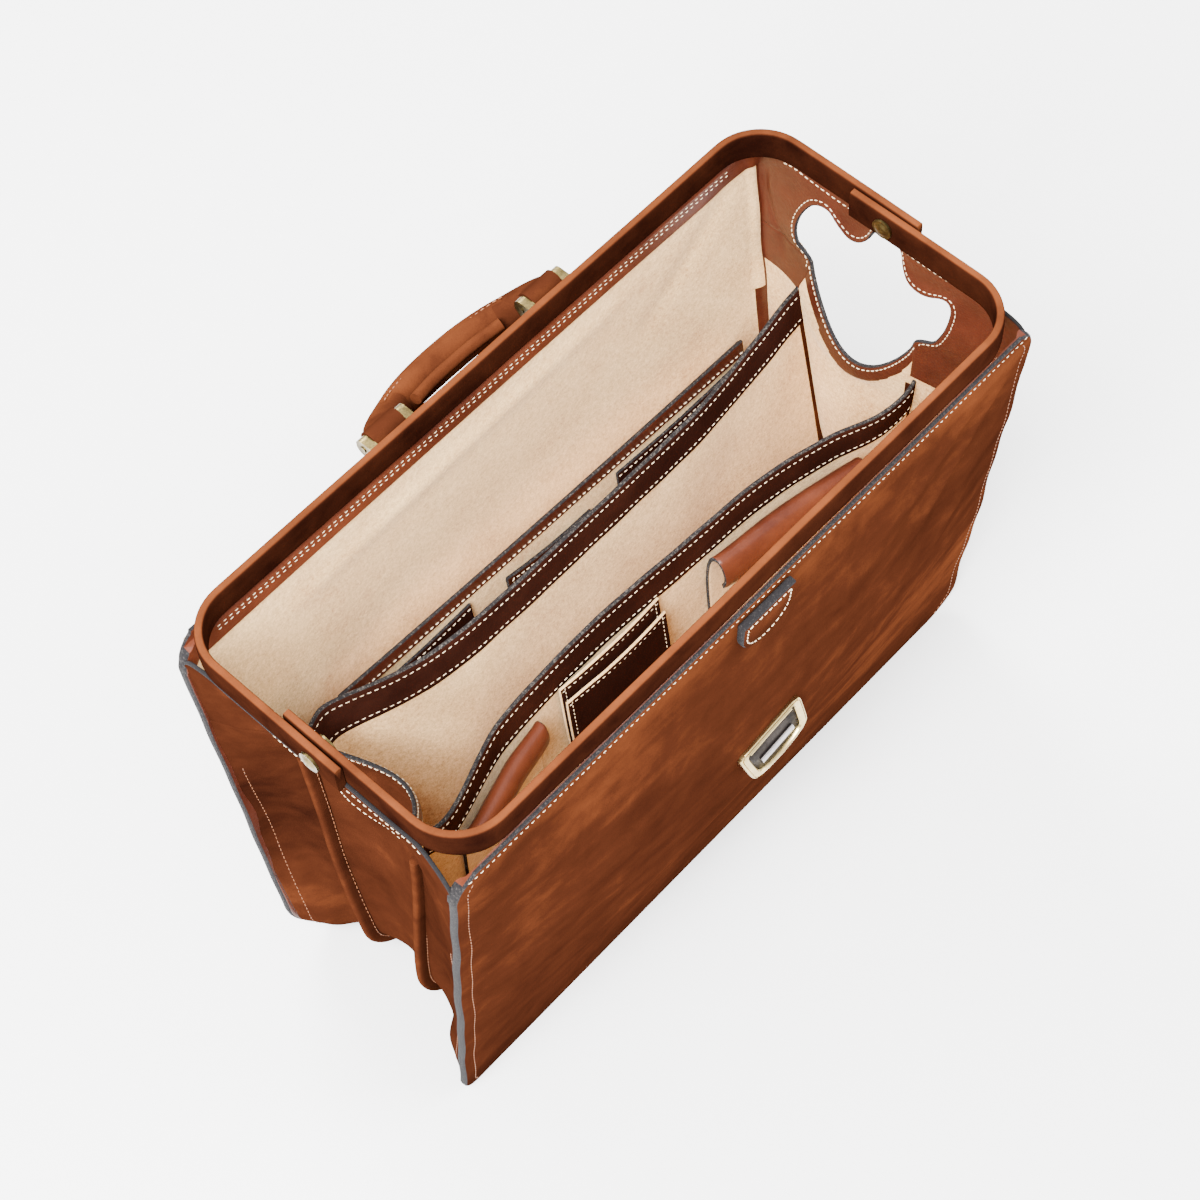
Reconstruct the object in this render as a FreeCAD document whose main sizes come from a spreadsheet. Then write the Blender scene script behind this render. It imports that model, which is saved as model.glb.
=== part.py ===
import FreeCAD, Part
import math
import os
import re

import Sketcher
from FreeCAD import Placement, Rotation, Vector

# A leather doctor bag, standing open. Millimetres. The origin is the centre of the base on the floor,
# +X runs along the bag's length, the front faces -Y and +Z is up. The two halves of the steel-framed
# mouth lie flat and level. To close, the panels tip inwards about their bottom edges and the frame
# halves fold up about the panels' top edges, until the arms hang down at the ends.

DIMENSIONS = [
    ("frame_length", 420, "outside length of the open frame"),
    ("half_base", 66, "centre to the bottom edge of either panel"),
    ("half_mouth", 94, "centre to the outer face of either frame bar"),
    ("hinge_height", 12, "floor to the line each panel tips about"),
    ("panel_rise", 297, "hinge line to the lower edge of the frame"),
    ("band_height", 19, "height of the leather-wrapped frame"),
    ("band_thick", 5, "thickness of the leather-wrapped frame"),
    ("band_corner", 31, "outer corner radius of the frame"),
    ("bar_thick", 2.6, "thickness of the steel bar in the frame"),
    ("wrap_thick", 1.2, "leather on each face of the steel bar"),
    ("arm_reach", 20, "how far each arm runs past the centre"),
    ("arm_inset", 5.4, "how much shorter the front half is at each end, to nest in the back half"),
    ("rivet_offset", 2.75, "centre to the rivet, towards the front"),
    ("rivet_head", 6, "radius of a frame rivet's head"),
    ("rivet_rim", 1.4, "thickness of the head at its rim"),
    ("rivet_dome", 9.2, "radius of the sphere that domes the head"),
    ("rivet_shank", 2.98, "radius of a frame rivet's shank"),
    ("rivet_bore", 3, "radius of the frame's bores for the rivets"),
    ("leather_thick", 2.2, "leather of the panels"),
    ("lining_thick", 1.2, "suede lining"),
    ("panel_top_gap", 7, "panel top to the frame, bridged by the facing"),
    ("front_bulge", 17, "how far the middle of the front panel stands out"),
    ("back_bulge", 3, "how far the middle of the back panel stands out"),
    ("corner_run", 34, "length cut from each top corner of a panel"),
    ("corner_drop", 26, "height cut from each top corner of a panel"),
    ("floor_thick", 2, "leather floor of each compartment"),
    ("divider_half_length", 197, "centre to the end of either divider"),
    ("divider_thick", 3, "leather and suede of a divider"),
    ("divider_base", 20, "centre to the bottom of either divider"),
    ("front_divider_top", 14, "centre to the top of the front divider"),
    ("front_divider_rise", 192, "hinge height to the top of the front divider"),
    ("rear_divider_top", 48, "centre to the top of the rear divider"),
    ("rear_divider_rise", 202, "hinge height to the top of the rear divider"),
    ("divider_corner", 45, "bottom corner radius of a divider"),
    ("trim_height", 24, "leather trim along the top of a divider"),
    ("trim_thick", 1.4, "thickness of a divider's trim"),
    ("gusset_offset", 203, "centre to the inside of the end gussets"),
    ("gusset_thick", 1.6, "leather of the end gussets"),
    ("pin_height", 314.5, "floor to the handle's pins"),
    ("pin_reach", 103.5, "centre to the handle's pins"),
    ("pin_radius", 2, "radius of a handle pin"),
    ("pin_gap", 0.08, "clearance round a handle pin"),
    ("plate_rivet", 1.6, "radius of the rivets that hold a handle bracket"),
    ("plate_thick", 1.6, "thickness of a handle bracket's plate"),
    ("bracket_height", 11, "height of a handle bracket"),
    ("ear_thick", 5, "thickness of one ear of a handle bracket"),
    ("ear_inner", 41.5, "centre to the near side of the inner ears"),
    ("ear_outer", 66.5, "centre to the near side of the outer ears"),
    ("grip_radius", 11, "radius of the padded grip"),
    ("grip_arch", 28, "pin line to the middle of the grip"),
    ("grip_bend", 86, "radius that the grip is bent to"),
    ("grip_span", 24, "half the angle that the grip takes up, in degrees"),
    ("lip_radius", 3.6, "radius of the slim bar inside the grip"),
    ("lip_bend", 75, "radius that the slim bar is bent to"),
    ("lip_arch", 13.2, "pin line to the middle of the slim bar"),
    ("lip_span", 21, "half the angle that the slim bar takes up, in degrees"),
    ("barrel_radius", 7, "radius of the leather barrels that turn on the pins"),
    ("handle_droop", 45, "angle the handle hangs below level"),
    ("tab_width", 38, "width of the front tab"),
    ("tab_length", 32, "length of the front tab"),
    ("tab_thick", 3.6, "thickness of the front tab"),
    ("lock_across", 47, "length of the lock's bezel"),
    ("lock_down", 29, "height of the lock's bezel"),
    ("lock_rise", 162, "floor to the middle of the lock"),
    ("lock_lean", 10, "angle the bezel tips out at the bottom"),
    ("lock_turn", 10.7, "angle the lock sits out of level"),
    ("bezel_thick", 3.4, "thickness of the bezel"),
    ("post_radius", 1.8, "radius of the posts that carry the bezel"),
    ("post_length", 3.2, "length of the posts that carry the bezel"),
    ("post_offset", 20, "middle of the lock to either post"),
]

doc = FreeCAD.newDocument("doctor_bag")
sheet = doc.addObject("Spreadsheet::Sheet", "dims")
for row, (alias, value, note) in enumerate(DIMENSIONS, start=1):
    sheet.set(f"A{row}", alias)
    sheet.set(f"B{row}", str(value))
    sheet.set(f"C{row}", note)
    sheet.setAlias(f"B{row}", alias)
doc.recompute()

D = {alias: float(getattr(sheet, alias)) for alias, _, _ in DIMENSIONS}
NAMES = re.compile(r"\b(" + "|".join(sorted(D, key=len, reverse=True)) + r")\b")
PARTS = []


def cells(text):
    """The expression with every dimension's name turned into a reference to its cell."""
    return NAMES.sub(r"dims.\1", str(text))


def evaluate(text):
    """Works an expression out through a cell of the sheet, so the sheet stays the only source."""
    sheet.set("E1", "=" + str(text))
    sheet.recompute()
    return float(sheet.get("E1"))


def bind(obj, bindings):
    """Ties each property path of the object to its expression."""
    for path, text in bindings.items():
        obj.setExpression(path, cells(text))


def place(obj, x="0", y="0", z="0", axis=None, angle=None):
    """Places the object by expressions, turned by an angle about one of the row's axes."""
    if angle is not None:
        obj.Placement = Placement(Vector(), Rotation(axis, 1))
        bind(obj, {"Placement.Rotation.Angle": angle})
    bind(obj, {"Placement.Base.x": x, "Placement.Base.y": y, "Placement.Base.z": z})
    return obj


def keep(obj, label):
    """Names a finished sub-part, which is written to a file of that name."""
    obj.Label = label
    PARTS.append(obj)
    return obj


def body(name):
    return doc.addObject("PartDesign::Body", name)


def sketch(host, plane, outline=(), circles=()):
    """A sketch on one of the body's own planes: a polygon and circles, all placed by expressions."""
    drawn = host.newObject("Sketcher::SketchObject", host.Name + "_sketch")
    plane_feature = [o for o in host.Origin.OriginFeatures if o.Role == plane][0]
    drawn.AttachmentSupport = [(plane_feature, "")]
    drawn.MapMode = "FlatFace"
    points = [(evaluate(u), evaluate(v)) for u, v in outline]
    for i, point in enumerate(points):
        after = points[(i + 1) % len(points)]
        drawn.addGeometry(Part.LineSegment(Vector(*point, 0), Vector(*after, 0)))
    for i in range(len(points)):
        drawn.addConstraint(Sketcher.Constraint("Coincident", i, 2, (i + 1) % len(points), 1))
    for i, (u, v) in enumerate(outline):
        pin_point(drawn, i, 1, u, v, points[i])
    for u, v, radius in circles:
        centre = (evaluate(u), evaluate(v))
        index = drawn.addGeometry(Part.Circle(Vector(*centre, 0), Vector(0, 0, 1), evaluate(radius)))
        pin_point(drawn, index, 3, u, v, centre)
        drawn.setExpression(
            f"Constraints[{drawn.addConstraint(Sketcher.Constraint('Radius', index, evaluate(radius)))}]",
            cells(radius),
        )
    return drawn


def pin_point(drawn, index, end, u, v, at):
    """Fixes one point of a sketch by its two distances from the sketch's origin."""
    for kind, text, number in (("DistanceX", u, at[0]), ("DistanceY", v, at[1])):
        row = drawn.addConstraint(Sketcher.Constraint(kind, -1, 1, index, end, number))
        drawn.setExpression(f"Constraints[{row}]", cells(text))


def pad(host, drawn, length, reverse=False, middle=False):
    """Pads a sketch; a pad on the XZ plane grows towards -Y unless it is reversed."""
    made = host.newObject("PartDesign::Pad", host.Name + "_pad")
    made.Profile = drawn
    made.Reversed = reverse
    if middle:
        made.SideType = "Symmetric"
    bind(made, {"Length": length})
    doc.recompute()
    return made


def pocket(host, drawn):
    """Cuts a sketch right through the body, both ways."""
    before = host.Shape.Volume
    made = host.newObject("PartDesign::Pocket", host.Name + "_pocket")
    made.Profile = drawn
    made.SideType = "Symmetric"
    made.Type = "ThroughAll"
    doc.recompute()
    if host.Shape.Volume >= before:
        raise RuntimeError(f"{host.Name}: the pocket cut nothing")
    return made


def soften(host, radius, chosen):
    """Fillets the body's edges for which chosen(centre of the edge, direction) holds."""
    names, base = [], host.Tip
    for i, edge in enumerate(base.Shape.Edges, start=1):
        if edge.Curve.TypeId == "Part::GeomLine":
            middle = edge.valueAt((edge.FirstParameter + edge.LastParameter) / 2)
            if chosen(middle, edge.Curve.Direction):
                names.append(f"Edge{i}")
    if not names:
        raise RuntimeError(f"{host.Name}: no edge to fillet")
    made = host.newObject("PartDesign::Fillet", host.Name + "_fillet")
    made.Base = (base, names)
    bind(made, {"Radius": radius})
    doc.recompute()
    return made


def slab(name, plane, outline, length, reverse=False, middle=False):
    """A body padded from one polygon."""
    host = body(name)
    pad(host, sketch(host, plane, outline), length, reverse, middle)
    return host


def block(name, size, at):
    """A Part::Box from a low corner, both given as expressions."""
    made = doc.addObject("Part::Box", name)
    bind(made, dict(zip(("Length", "Width", "Height"), size)))
    place(made, *at)
    return keep(made, name)


def solid(name, shape, placement=None):
    """A Part::Feature for a piece whose surface is lofted."""
    made = doc.addObject("Part::Feature", name)
    made.Shape = shape
    if placement is not None:
        made.Placement = placement.multiply(shape.Placement)
    return keep(made, name)


def cut(name, base, tool, label=None):
    made = doc.addObject("Part::Cut", name)
    made.Base, made.Tool = base, tool
    return keep(made, label) if label else made


def cylinder(name, radius, length, at, axis=Vector(0, 0, 1), angle="0"):
    """A cylinder along +Z, or turned by an angle about an axis."""
    made = doc.addObject("Part::Cylinder", name)
    bind(made, {"Radius": radius, "Height": length})
    return place(made, *at, axis=axis, angle=angle)


def along_x(name, radius, length, at):
    return cylinder(name, radius, length, at, Vector(0, 1, 0), "90")


X_AXIS = Vector(1, 0, 0)


# ---- Base: what the bag stands on -------------------------------------------------------------

def make_base():
    """Welts on the floor, the compartments' floors and the rear divider's bottom seam."""
    length = ("frame_length - 20", "4", "hinge_height - 0.5")
    block("front_welt", length, ("10 - frame_length / 2", "-half_base", "0"))
    block("back_welt", length, ("10 - frame_length / 2", "half_base - 4", "0"))
    floors = {
        "front_floor": ("6.5 - half_base", "half_base - divider_base - 9"),
        "middle_floor": ("3 - divider_base", "2 * divider_base - 6"),
        "back_floor": ("divider_base + 2.5", "half_base - divider_base - 9"),
    }
    for name, (low_y, width) in floors.items():
        size = ("2 * divider_half_length + 4", width, "floor_thick")
        block(name, size, ("-divider_half_length - 2", low_y, "hinge_height"))
    size = ("2 * (divider_half_length - divider_corner)", "divider_thick", "hinge_height - 6")
    at = ("divider_corner - divider_half_length", "divider_base - divider_thick / 2", "6")
    block("rear_divider_seam", size, at)


def make_gussets():
    """The folding ends between panels and dividers, one sheet per compartment and end."""
    low, high = "hinge_height + 2.5", "hinge_height + 190"
    outlines = {
        "front_gusset": [
            ("6 - half_base", low), ("-divider_base - 2.5", low),
            ("-front_divider_top - 2.5", high), ("-half_mouth + 15", high),
        ],
        "middle_gusset": [
            ("2.5 - divider_base", low), ("divider_base - 2.5", low),
            ("rear_divider_top - 4.5", high), ("2.5 - front_divider_top", high),
        ],
        "back_gusset": [
            ("divider_base + 2.5", low), ("half_base - 6", low),
            ("half_mouth - 15", high), ("rear_divider_top + 2.5", high),
        ],
    }
    for name, outline in outlines.items():
        for side, x in (("left", "-gusset_offset - gusset_thick"), ("right", "gusset_offset")):
            made = slab(f"{name}_{side}", "YZ_Plane", outline, "gusset_thick")
            keep(place(made, x), f"{name}_{side}")


# ---- Dividers -----------------------------------------------------------------------------------

def divider_slab(name, low, rise, thick, half="divider_half_length", corner=True):
    """An upright sheet in its own XZ plane, with its two bottom corners rounded."""
    outline = [("-" + half, low), (half, low), (half, rise), ("-" + half, rise)]
    made = slab(name, "XZ_Plane", outline, thick, middle=True)
    if corner:
        soften(made, "divider_corner", lambda m, d: abs(d.y) > 0.9 and m.z < D["divider_corner"])
    return made


def make_dividers():
    """Two walls, each a sheet with a leather trim along its top, tipped about its bottom edge."""
    front_tilt = "atan((divider_base - front_divider_top) / front_divider_rise)"
    rear_tilt = "atan((rear_divider_top - divider_base) / rear_divider_rise)"
    back = Vector(-1, 0, 0)
    front = {"y": "-divider_base", "z": "hinge_height", "axis": back, "angle": front_tilt}
    rear = {"y": "divider_base", "z": "hinge_height", "axis": back, "angle": rear_tilt}
    keep(place(divider_slab("front_divider", "-6", "front_divider_rise", "divider_thick"), **front),
         "front_divider")
    keep(place(divider_slab("rear_divider", "2", "rear_divider_rise", "divider_thick"), **rear),
         "rear_divider")
    for name, rise, where in (
        ("front_divider_trim", "front_divider_rise", front),
        ("rear_divider_trim", "rear_divider_rise", rear),
    ):
        half = "divider_half_length - 2"
        outline = [
            ("2 - divider_half_length", f"{rise} - trim_height"), (half, f"{rise} - trim_height"),
            (half, f"{rise} - 1"), ("2 - divider_half_length", f"{rise} - 1"),
        ]
        trim = body(name)
        drawn = sketch(trim, "XZ_Plane", outline)
        drawn.AttachmentOffset = Placement(Vector(0, 0, D["divider_thick"] / 2 + 0.05), Rotation())
        pad(trim, drawn, "trim_thick")
        keep(place(trim, **where), name)
    make_divider_pockets(front)


def make_divider_pockets(where):
    """Two rolled flap pockets and a card sleeve on the front face of the front divider."""
    pockets = {
        "flap_pocket_right": ("52", "150", "60", "167", "9"),
        "flap_pocket_left": ("-150", "-84", "60", "167", "9"),
        "card_sleeve": ("-60", "17", "70", "166", "5"),
    }
    for name, (left, right, low, high, depth) in pockets.items():
        made = body(name)
        outline = [(left, low), (right, low), (right, high), (left, high)]
        drawn = sketch(made, "XZ_Plane", outline)
        drawn.AttachmentOffset = Placement(Vector(0, 0, D["divider_thick"] / 2 + 0.1), Rotation())
        pad(made, drawn, depth)
        soften(made, "2", lambda m, d: abs(d.y) > 0.9)
        keep(place(made, **where), name)


# ---- Panels -------------------------------------------------------------------------------------

def bulge(height, along, amount):
    """How far a panel stands out of its plane: most in the middle, none at its edges."""
    up = min(max(height / D["panel_rise"], 0), 1)
    across = min(abs(along) / (D["frame_length"] / 2), 1)
    return amount * math.sin(math.pi * up) ** 1.5 * math.cos(math.pi / 2 * across)


def panel_section(x, low, high, inner, outer, amount):
    """One cross-section of a panel as a wire: two curved faces and two flat ends."""
    heights = [low + (high - low) * i / 6 for i in range(7)]
    faces = []
    for offset in (outer, inner):
        curve = Part.BSplineCurve()
        curve.interpolate([Vector(x, offset - bulge(h, x, amount), h) for h in heights])
        faces.append(curve.toShape())
    ends = [
        Part.LineSegment(faces[0].valueAt(end), faces[1].valueAt(end)).toShape()
        for end in (faces[0].FirstParameter, faces[0].LastParameter)
    ]
    return Part.Wire([ends[0], faces[1], ends[1], faces[0]])


def panel_shell(inner, outer, amount, margin=0.0, top=None):
    """A bulging sheet, lofted along the bag, with its top corners cut off."""
    half = D["frame_length"] / 2 - margin
    high = (top if top is not None else D["panel_rise"] - D["panel_top_gap"]) - margin
    stations = [half * s for s in (-1, -0.75, -0.5, -0.25, 0, 0.25, 0.5, 0.75, 1)]
    low = 0.5 + margin
    wires = [panel_section(x, low, high, inner, outer, amount) for x in stations]
    shape = Part.makeLoft(wires, True)
    run, drop = D["corner_run"], D["corner_drop"]
    for side in (-1, 1):
        edge, tall = side * D["frame_length"] / 2, D["panel_rise"] - D["panel_top_gap"]
        corner = [(edge, tall - drop - margin), (edge - side * run, tall - margin),
                  (edge - side * run, tall + 20), (edge + side * 20, tall + 20),
                  (edge + side * 20, tall - drop - margin)]
        wire = Part.makePolygon([Vector(x, -60, z) for x, z in corner + corner[:1]])
        shape = shape.cut(Part.Face(wire).extrude(Vector(0, 120, 0)))
    return shape


def panel_place(side):
    """The placement of a panel's own frame: +Z up the panel, -Y out of it; side -1 front, 1 back."""
    lean = math.degrees(math.atan((D["half_mouth"] - D["half_base"]) / D["panel_rise"]))
    tip = Placement(Vector(0, -D["half_base"], D["hinge_height"]), Rotation(X_AXIS, lean))
    if side < 0:
        return tip
    return Placement(Vector(), Rotation(Vector(0, 0, 1), 180)).multiply(tip)


FACING_LOW, FACING_HIGH = "281", "296.5"


def make_panels():
    """Outer leather and suede lining of both panels, and the leather facings under the frame."""
    for name, side, amount in (("front", -1, D["front_bulge"]), ("back", 1, D["back_bulge"])):
        leather, lining = D["leather_thick"], D["lining_thick"]
        where = panel_place(side)
        solid(f"{name}_panel", panel_shell(leather, 0, amount), where)
        inner = leather + 0.1
        solid(f"{name}_lining", panel_shell(inner + lining, inner, amount, 1.0, float(FACING_LOW)), where)
        facing = body(f"{name}_facing")
        half = "frame_length / 2 - corner_run - 2"
        outline = [(f"-({half})", FACING_LOW), (half, FACING_LOW),
                   (half, FACING_HIGH), (f"-({half})", FACING_HIGH)]
        drawn = sketch(facing, "XZ_Plane", outline)
        drawn.AttachmentOffset = Placement(Vector(0, 0, -leather - 0.3), Rotation())
        pad(facing, drawn, "lining_thick", reverse=True)
        facing.Placement = where
        keep(facing, f"{name}_facing")


def make_tab():
    """The half-round stitched tab that hangs in the middle of the front, below the frame."""
    low, high = "panel_rise - 4 - tab_length", "panel_rise - 4"
    outline = [("-tab_width / 2", low), ("tab_width / 2", low),
               ("tab_width / 2", high), ("-tab_width / 2", high)]
    tab = slab("front_tab", "XZ_Plane", outline, "tab_thick")
    soften(tab, "tab_width / 2 - 4", lambda m, d: abs(d.y) > 0.9 and m.z < evaluate(low) + 1)
    lift = bulge(evaluate(low), 0, D["front_bulge"]) + 0.4
    tab.Placement = panel_place(-1).multiply(Placement(Vector(0, -lift, 0), Rotation()))
    keep(tab, "front_tab")


def make_organizer():
    """The pocket wall on the inside of the back panel, with its trim, card pockets and patch."""
    where = panel_place(1)
    depth = D["leather_thick"] + D["lining_thick"] + 0.4
    pieces = {
        "organizer_panel": [(-176, 30), (140, 30), (140, 176), (-176, 162)],
        "organizer_trim": [(-176, 150), (140, 164), (140, 176), (-176, 162)],
        "card_pocket_left": [(48, 90), (134, 90), (134, 160), (48, 156)],
        "card_pocket_right": [(-172, 90), (-68, 90), (-68, 153), (-172, 148)],
        "blank_patch": [(-44, 118), (22, 118), (22, 145), (-44, 142)],
    }
    for i, (name, outline) in enumerate(pieces.items()):
        made = body(name)
        drawn = sketch(made, "XZ_Plane", outline)
        layer = 0 if i == 0 else D["trim_thick"] + 0.1
        drawn.AttachmentOffset = Placement(Vector(0, 0, -depth - layer), Rotation())
        pad(made, drawn, "trim_thick", reverse=True)
        made.Placement = where
        keep(made, name)


def make_wings():
    """The stitched leather ends under the frame's arms, cut out round the rivets."""
    high = "hinge_height + panel_rise - 0.6"
    outlines = {
        "front_wing": [
            ("6.5 - half_mouth", high), ("-12", high), ("-14", "291"), ("-24", "279"), ("-40", "286"),
            ("-47", "280"), ("-43", "256"), ("-28", "239"), ("-20", "215"), ("-30", "206"), ("-78", "206"),
        ],
        "back_wing": [
            ("half_mouth - 6.5", high), ("8", high), ("12", "291"), ("22", "284"), ("40", "295"),
            ("50", "289"), ("58", "262"), ("50", "249"), ("44", "246"), ("47", "216"), ("78", "212"),
        ],
    }
    for name, outline in outlines.items():
        x = "gusset_offset + 2" if name == "front_wing" else "gusset_offset + 4"
        for side in ("left", "right"):
            made = slab(f"{name}_{side}", "YZ_Plane", outline, "gusset_thick")
            keep(place(made, x if side == "right" else f"-({x}) - gusset_thick"), f"{name}_{side}")


# ---- Lock ---------------------------------------------------------------------------------------

def make_lock():
    """A base plate, a latch, and a four-sided bezel held off the panel by two posts."""
    rise = (D["lock_rise"] - D["hinge_height"]) / D["panel_rise"]
    lift = D["half_base"] + rise * (D["half_mouth"] - D["half_base"]) + D["front_bulge"]
    across = Rotation(Vector(0, 1, 0), -D["lock_turn"])
    where = Placement(Vector(3, -lift - 5.2, D["lock_rise"]),
                      across.multiply(Rotation(X_AXIS, -D["lock_lean"])))
    half, tall = "lock_across / 2", "lock_down / 2"
    bezel = slab("lock_bezel", "XZ_Plane", [
        (f"3 - {half}", tall), (f"{half} - 3", tall), (half, f"4 - {tall}"),
        ("lock_across / 4", f"-{tall}"), ("-lock_across / 4", f"-{tall}"), (f"-{half}", f"4 - {tall}"),
    ], "bezel_thick")
    pocket(bezel, sketch(bezel, "XZ_Plane", [
        (f"8 - {half}", f"{tall} - 3"), (f"{half} - 8", f"{tall} - 3"),
        (f"{half} - 6", f"7 - {tall}"), (f"6 - {half}", f"7 - {tall}"),
    ]))
    bezel.Placement = where
    keep(bezel, "lock_bezel")
    plate = slab("lock_plate", "XZ_Plane", [("-18", "-11"), ("18", "-11"), ("18", "12"), ("-18", "12")],
                 "1.2", reverse=True)
    plate.Placement = where.multiply(Placement(Vector(0, 0.4, 0), Rotation()))
    keep(plate, "lock_plate")
    latch = slab("lock_latch", "XZ_Plane",
                 [("-11", "-6.6"), ("8", "-6.6"), ("8", "-3.4"), ("-11", "-3.4")], "2")
    latch.Placement = where.multiply(Placement(Vector(0, -0.2, 0), Rotation()))
    keep(latch, "lock_latch")
    posts = [Part.makeCylinder(D["post_radius"], D["post_length"],
                               Vector(side * D["post_offset"], 0.02, 11), Vector(0, 1, 0))
             for side in (-1, 1)]
    solid("lock_posts", Part.makeCompound(posts), where)


# ---- Frame --------------------------------------------------------------------------------------

def frame_outline(side, inset, thick, step):
    """The plan of one half of the frame: along one arm, round the mouth and back up the other arm.

    inset is how far the strip's outer face lies inside the band's, and step how much shorter this
    half is at each end. side is -1 at the front and 1 at the back."""
    half, depth = f"(frame_length / 2 - {inset} - {step})", f"(half_mouth - {inset})"
    inner_half, inner_depth = f"({half} - {thick})", f"({depth} - {thick})"
    outline = [(half, "arm_reach"), (half, f"-{depth}"), (f"-{half}", f"-{depth}"),
               (f"-{half}", "arm_reach"), (f"-{inner_half}", "arm_reach"),
               (f"-{inner_half}", f"-{inner_depth}"), (inner_half, f"-{inner_depth}"),
               (inner_half, "arm_reach")]
    if side > 0:
        outline = [(x, f"-({y})") for x, y in outline]
    return outline


def frame_strip(name, side, inset, thick, height, step):
    """A strip bent to one half of the frame, with rounded corners."""
    made = slab(name, "XY_Plane", frame_outline(side, inset, thick, step), height)
    for reach in ("0", thick):
        x = evaluate(f"frame_length / 2 - {inset} - {step} - {reach}")
        y = evaluate(f"half_mouth - {inset} - {reach}")
        soften(made, f"band_corner - {inset} - {reach}",
               lambda m, d: abs(abs(m.x) - x) < 0.1 and abs(abs(m.y) - y) < 0.1)
    return place(made, z="hinge_height + panel_rise")


def make_frame():
    """Steel bars wrapped in leather bands, and the rivet halves at both ends."""
    for name, side, step in (("front", -1, "arm_inset"), ("back", 1, "0")):
        band = frame_strip(f"{name}_band_block", side, "0", "band_thick", "band_height", step)
        bar = frame_strip(f"{name}_bar_block", side, "wrap_thick", "bar_thick",
                          "band_height - wrap_thick", step)
        bores = [along_x(f"{name}_rivet_bore", "rivet_bore", "frame_length + 20",
                         ("-frame_length / 2 - 10", "-rivet_offset",
                          "hinge_height + panel_rise + band_height / 2"))]
        if name == "back":
            bores += [handle_rivet(x, f"handle_bore_{i}") for i, x in enumerate(HANDLE_RIVETS)]
        tool = doc.addObject("Part::MultiFuse", f"{name}_bores") if len(bores) > 1 else bores[0]
        if len(bores) > 1:
            tool.Shapes = bores
        cut(f"{name}_bar_cut", bar, tool, f"{name}_frame_bar")
        hollow = cut(f"{name}_band_hollow", band, bar)
        cut(f"{name}_band_cut", hollow, tool, f"{name}_band")
    make_rivets()


def make_rivets():
    """A domed rivet half at each end of each frame half, on the axis the halves turn about."""
    height = D["hinge_height"] + D["panel_rise"] + D["band_height"] / 2
    outer = D["frame_length"] / 2
    inner = outer - D["band_thick"] - D["arm_inset"]
    radius, rim, dome = D["rivet_head"], D["rivet_rim"], D["rivet_dome"]
    sink = math.sqrt(dome**2 - radius**2) - rim + 0.9
    for name, face, outward in (("outer", outer, 1), ("inner", inner, -1)):
        halves = []
        for side in (-1, 1):
            out = Vector(side * outward, 0, 0)
            base = Vector(side * face, -D["rivet_offset"], height)
            ball = Part.makeSphere(dome, base + out * -sink, X_AXIS, -90, 90, 360)
            cap = ball.common(Part.makeCylinder(radius, 4, base + out * 0.5, out))
            shank = Part.makeCylinder(D["rivet_shank"], D["band_thick"], base, out * -1)
            head = Part.makeCylinder(radius, rim, base, out).fuse(cap)
            halves.append(head.fuse(shank).removeSplitter())
        solid(f"frame_rivets_{name}", Part.makeCompound(halves))


# ---- Handle -------------------------------------------------------------------------------------

HANDLE_RIVETS = ("-60", "-53", "53", "60")


def handle_rivet(x, name):
    """A rivet, or the bore for one, from a bracket's base plate through to the steel bar."""
    at = (x, "half_mouth + plate_thick", "pin_height")
    length = "plate_thick + wrap_thick + bar_thick"
    return cylinder(name, "plate_rivet", length, at, X_AXIS, "90")


def make_brackets():
    """Two brass brackets, each a plate with two ears, with a pin across the ears."""
    for name, sign in (("left", -1), ("right", 1)):
        low, high = ("ear_inner", "ear_outer + ear_thick")
        tip, plate = "pin_reach + 5", "half_mouth + plate_thick"
        outline = [(low, "half_mouth"), (high, "half_mouth"), (high, tip), ("ear_outer", tip),
                   ("ear_outer", plate), ("ear_inner + ear_thick", plate),
                   ("ear_inner + ear_thick", tip), (low, tip)]
        if sign < 0:
            outline = [(f"-({x})", y) for x, y in outline]
        bracket = slab(f"handle_bracket_{name}_block", "XY_Plane", outline, "bracket_height")
        soften(bracket, "4.5", lambda m, d: abs(d.x) > 0.9 and m.y > D["pin_reach"] + 4)
        pocket(bracket, sketch(bracket, "YZ_Plane", circles=[
            ("pin_reach", "bracket_height / 2", "pin_radius")]))
        place(bracket, z="pin_height - bracket_height / 2")
        holes = [handle_rivet(x, f"bracket_bore_{name}_{x.strip('-')}")
                 for x in HANDLE_RIVETS if (float(x) > 0) == (sign > 0)]
        tool = doc.addObject("Part::MultiFuse", f"bracket_bores_{name}")
        tool.Shapes = holes
        cut(f"handle_bracket_{name}_cut", bracket, tool, f"handle_bracket_{name}")
        start = "ear_inner - 0.6" if sign > 0 else "-(ear_outer + ear_thick + 0.6)"
        pin = along_x(f"handle_pin_{name}", "pin_radius",
                      "ear_outer - ear_inner + ear_thick + 1.2", (start, "pin_reach", "pin_height"))
        keep(pin, f"handle_pin_{name}")
    rivets = doc.addObject("Part::Compound", "handle_rivets")
    rivets.Links = [handle_rivet(x, f"handle_rivet_{i}") for i, x in enumerate(HANDLE_RIVETS)]
    keep(rivets, "handle_rivets")


def torus_piece(ring, tube, centre, half_angle):
    """A stretch of a bent tube, symmetric about the handle's own +Y axis."""
    turn = Rotation(Vector(0, 0, 1), 90 - half_angle)
    shape = Part.makeTorus(ring, tube, Vector(), Vector(0, 0, 1), 0, 360, 2 * half_angle)
    shape.Placement = Placement(Vector(0, centre, 0), turn)
    return shape


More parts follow.
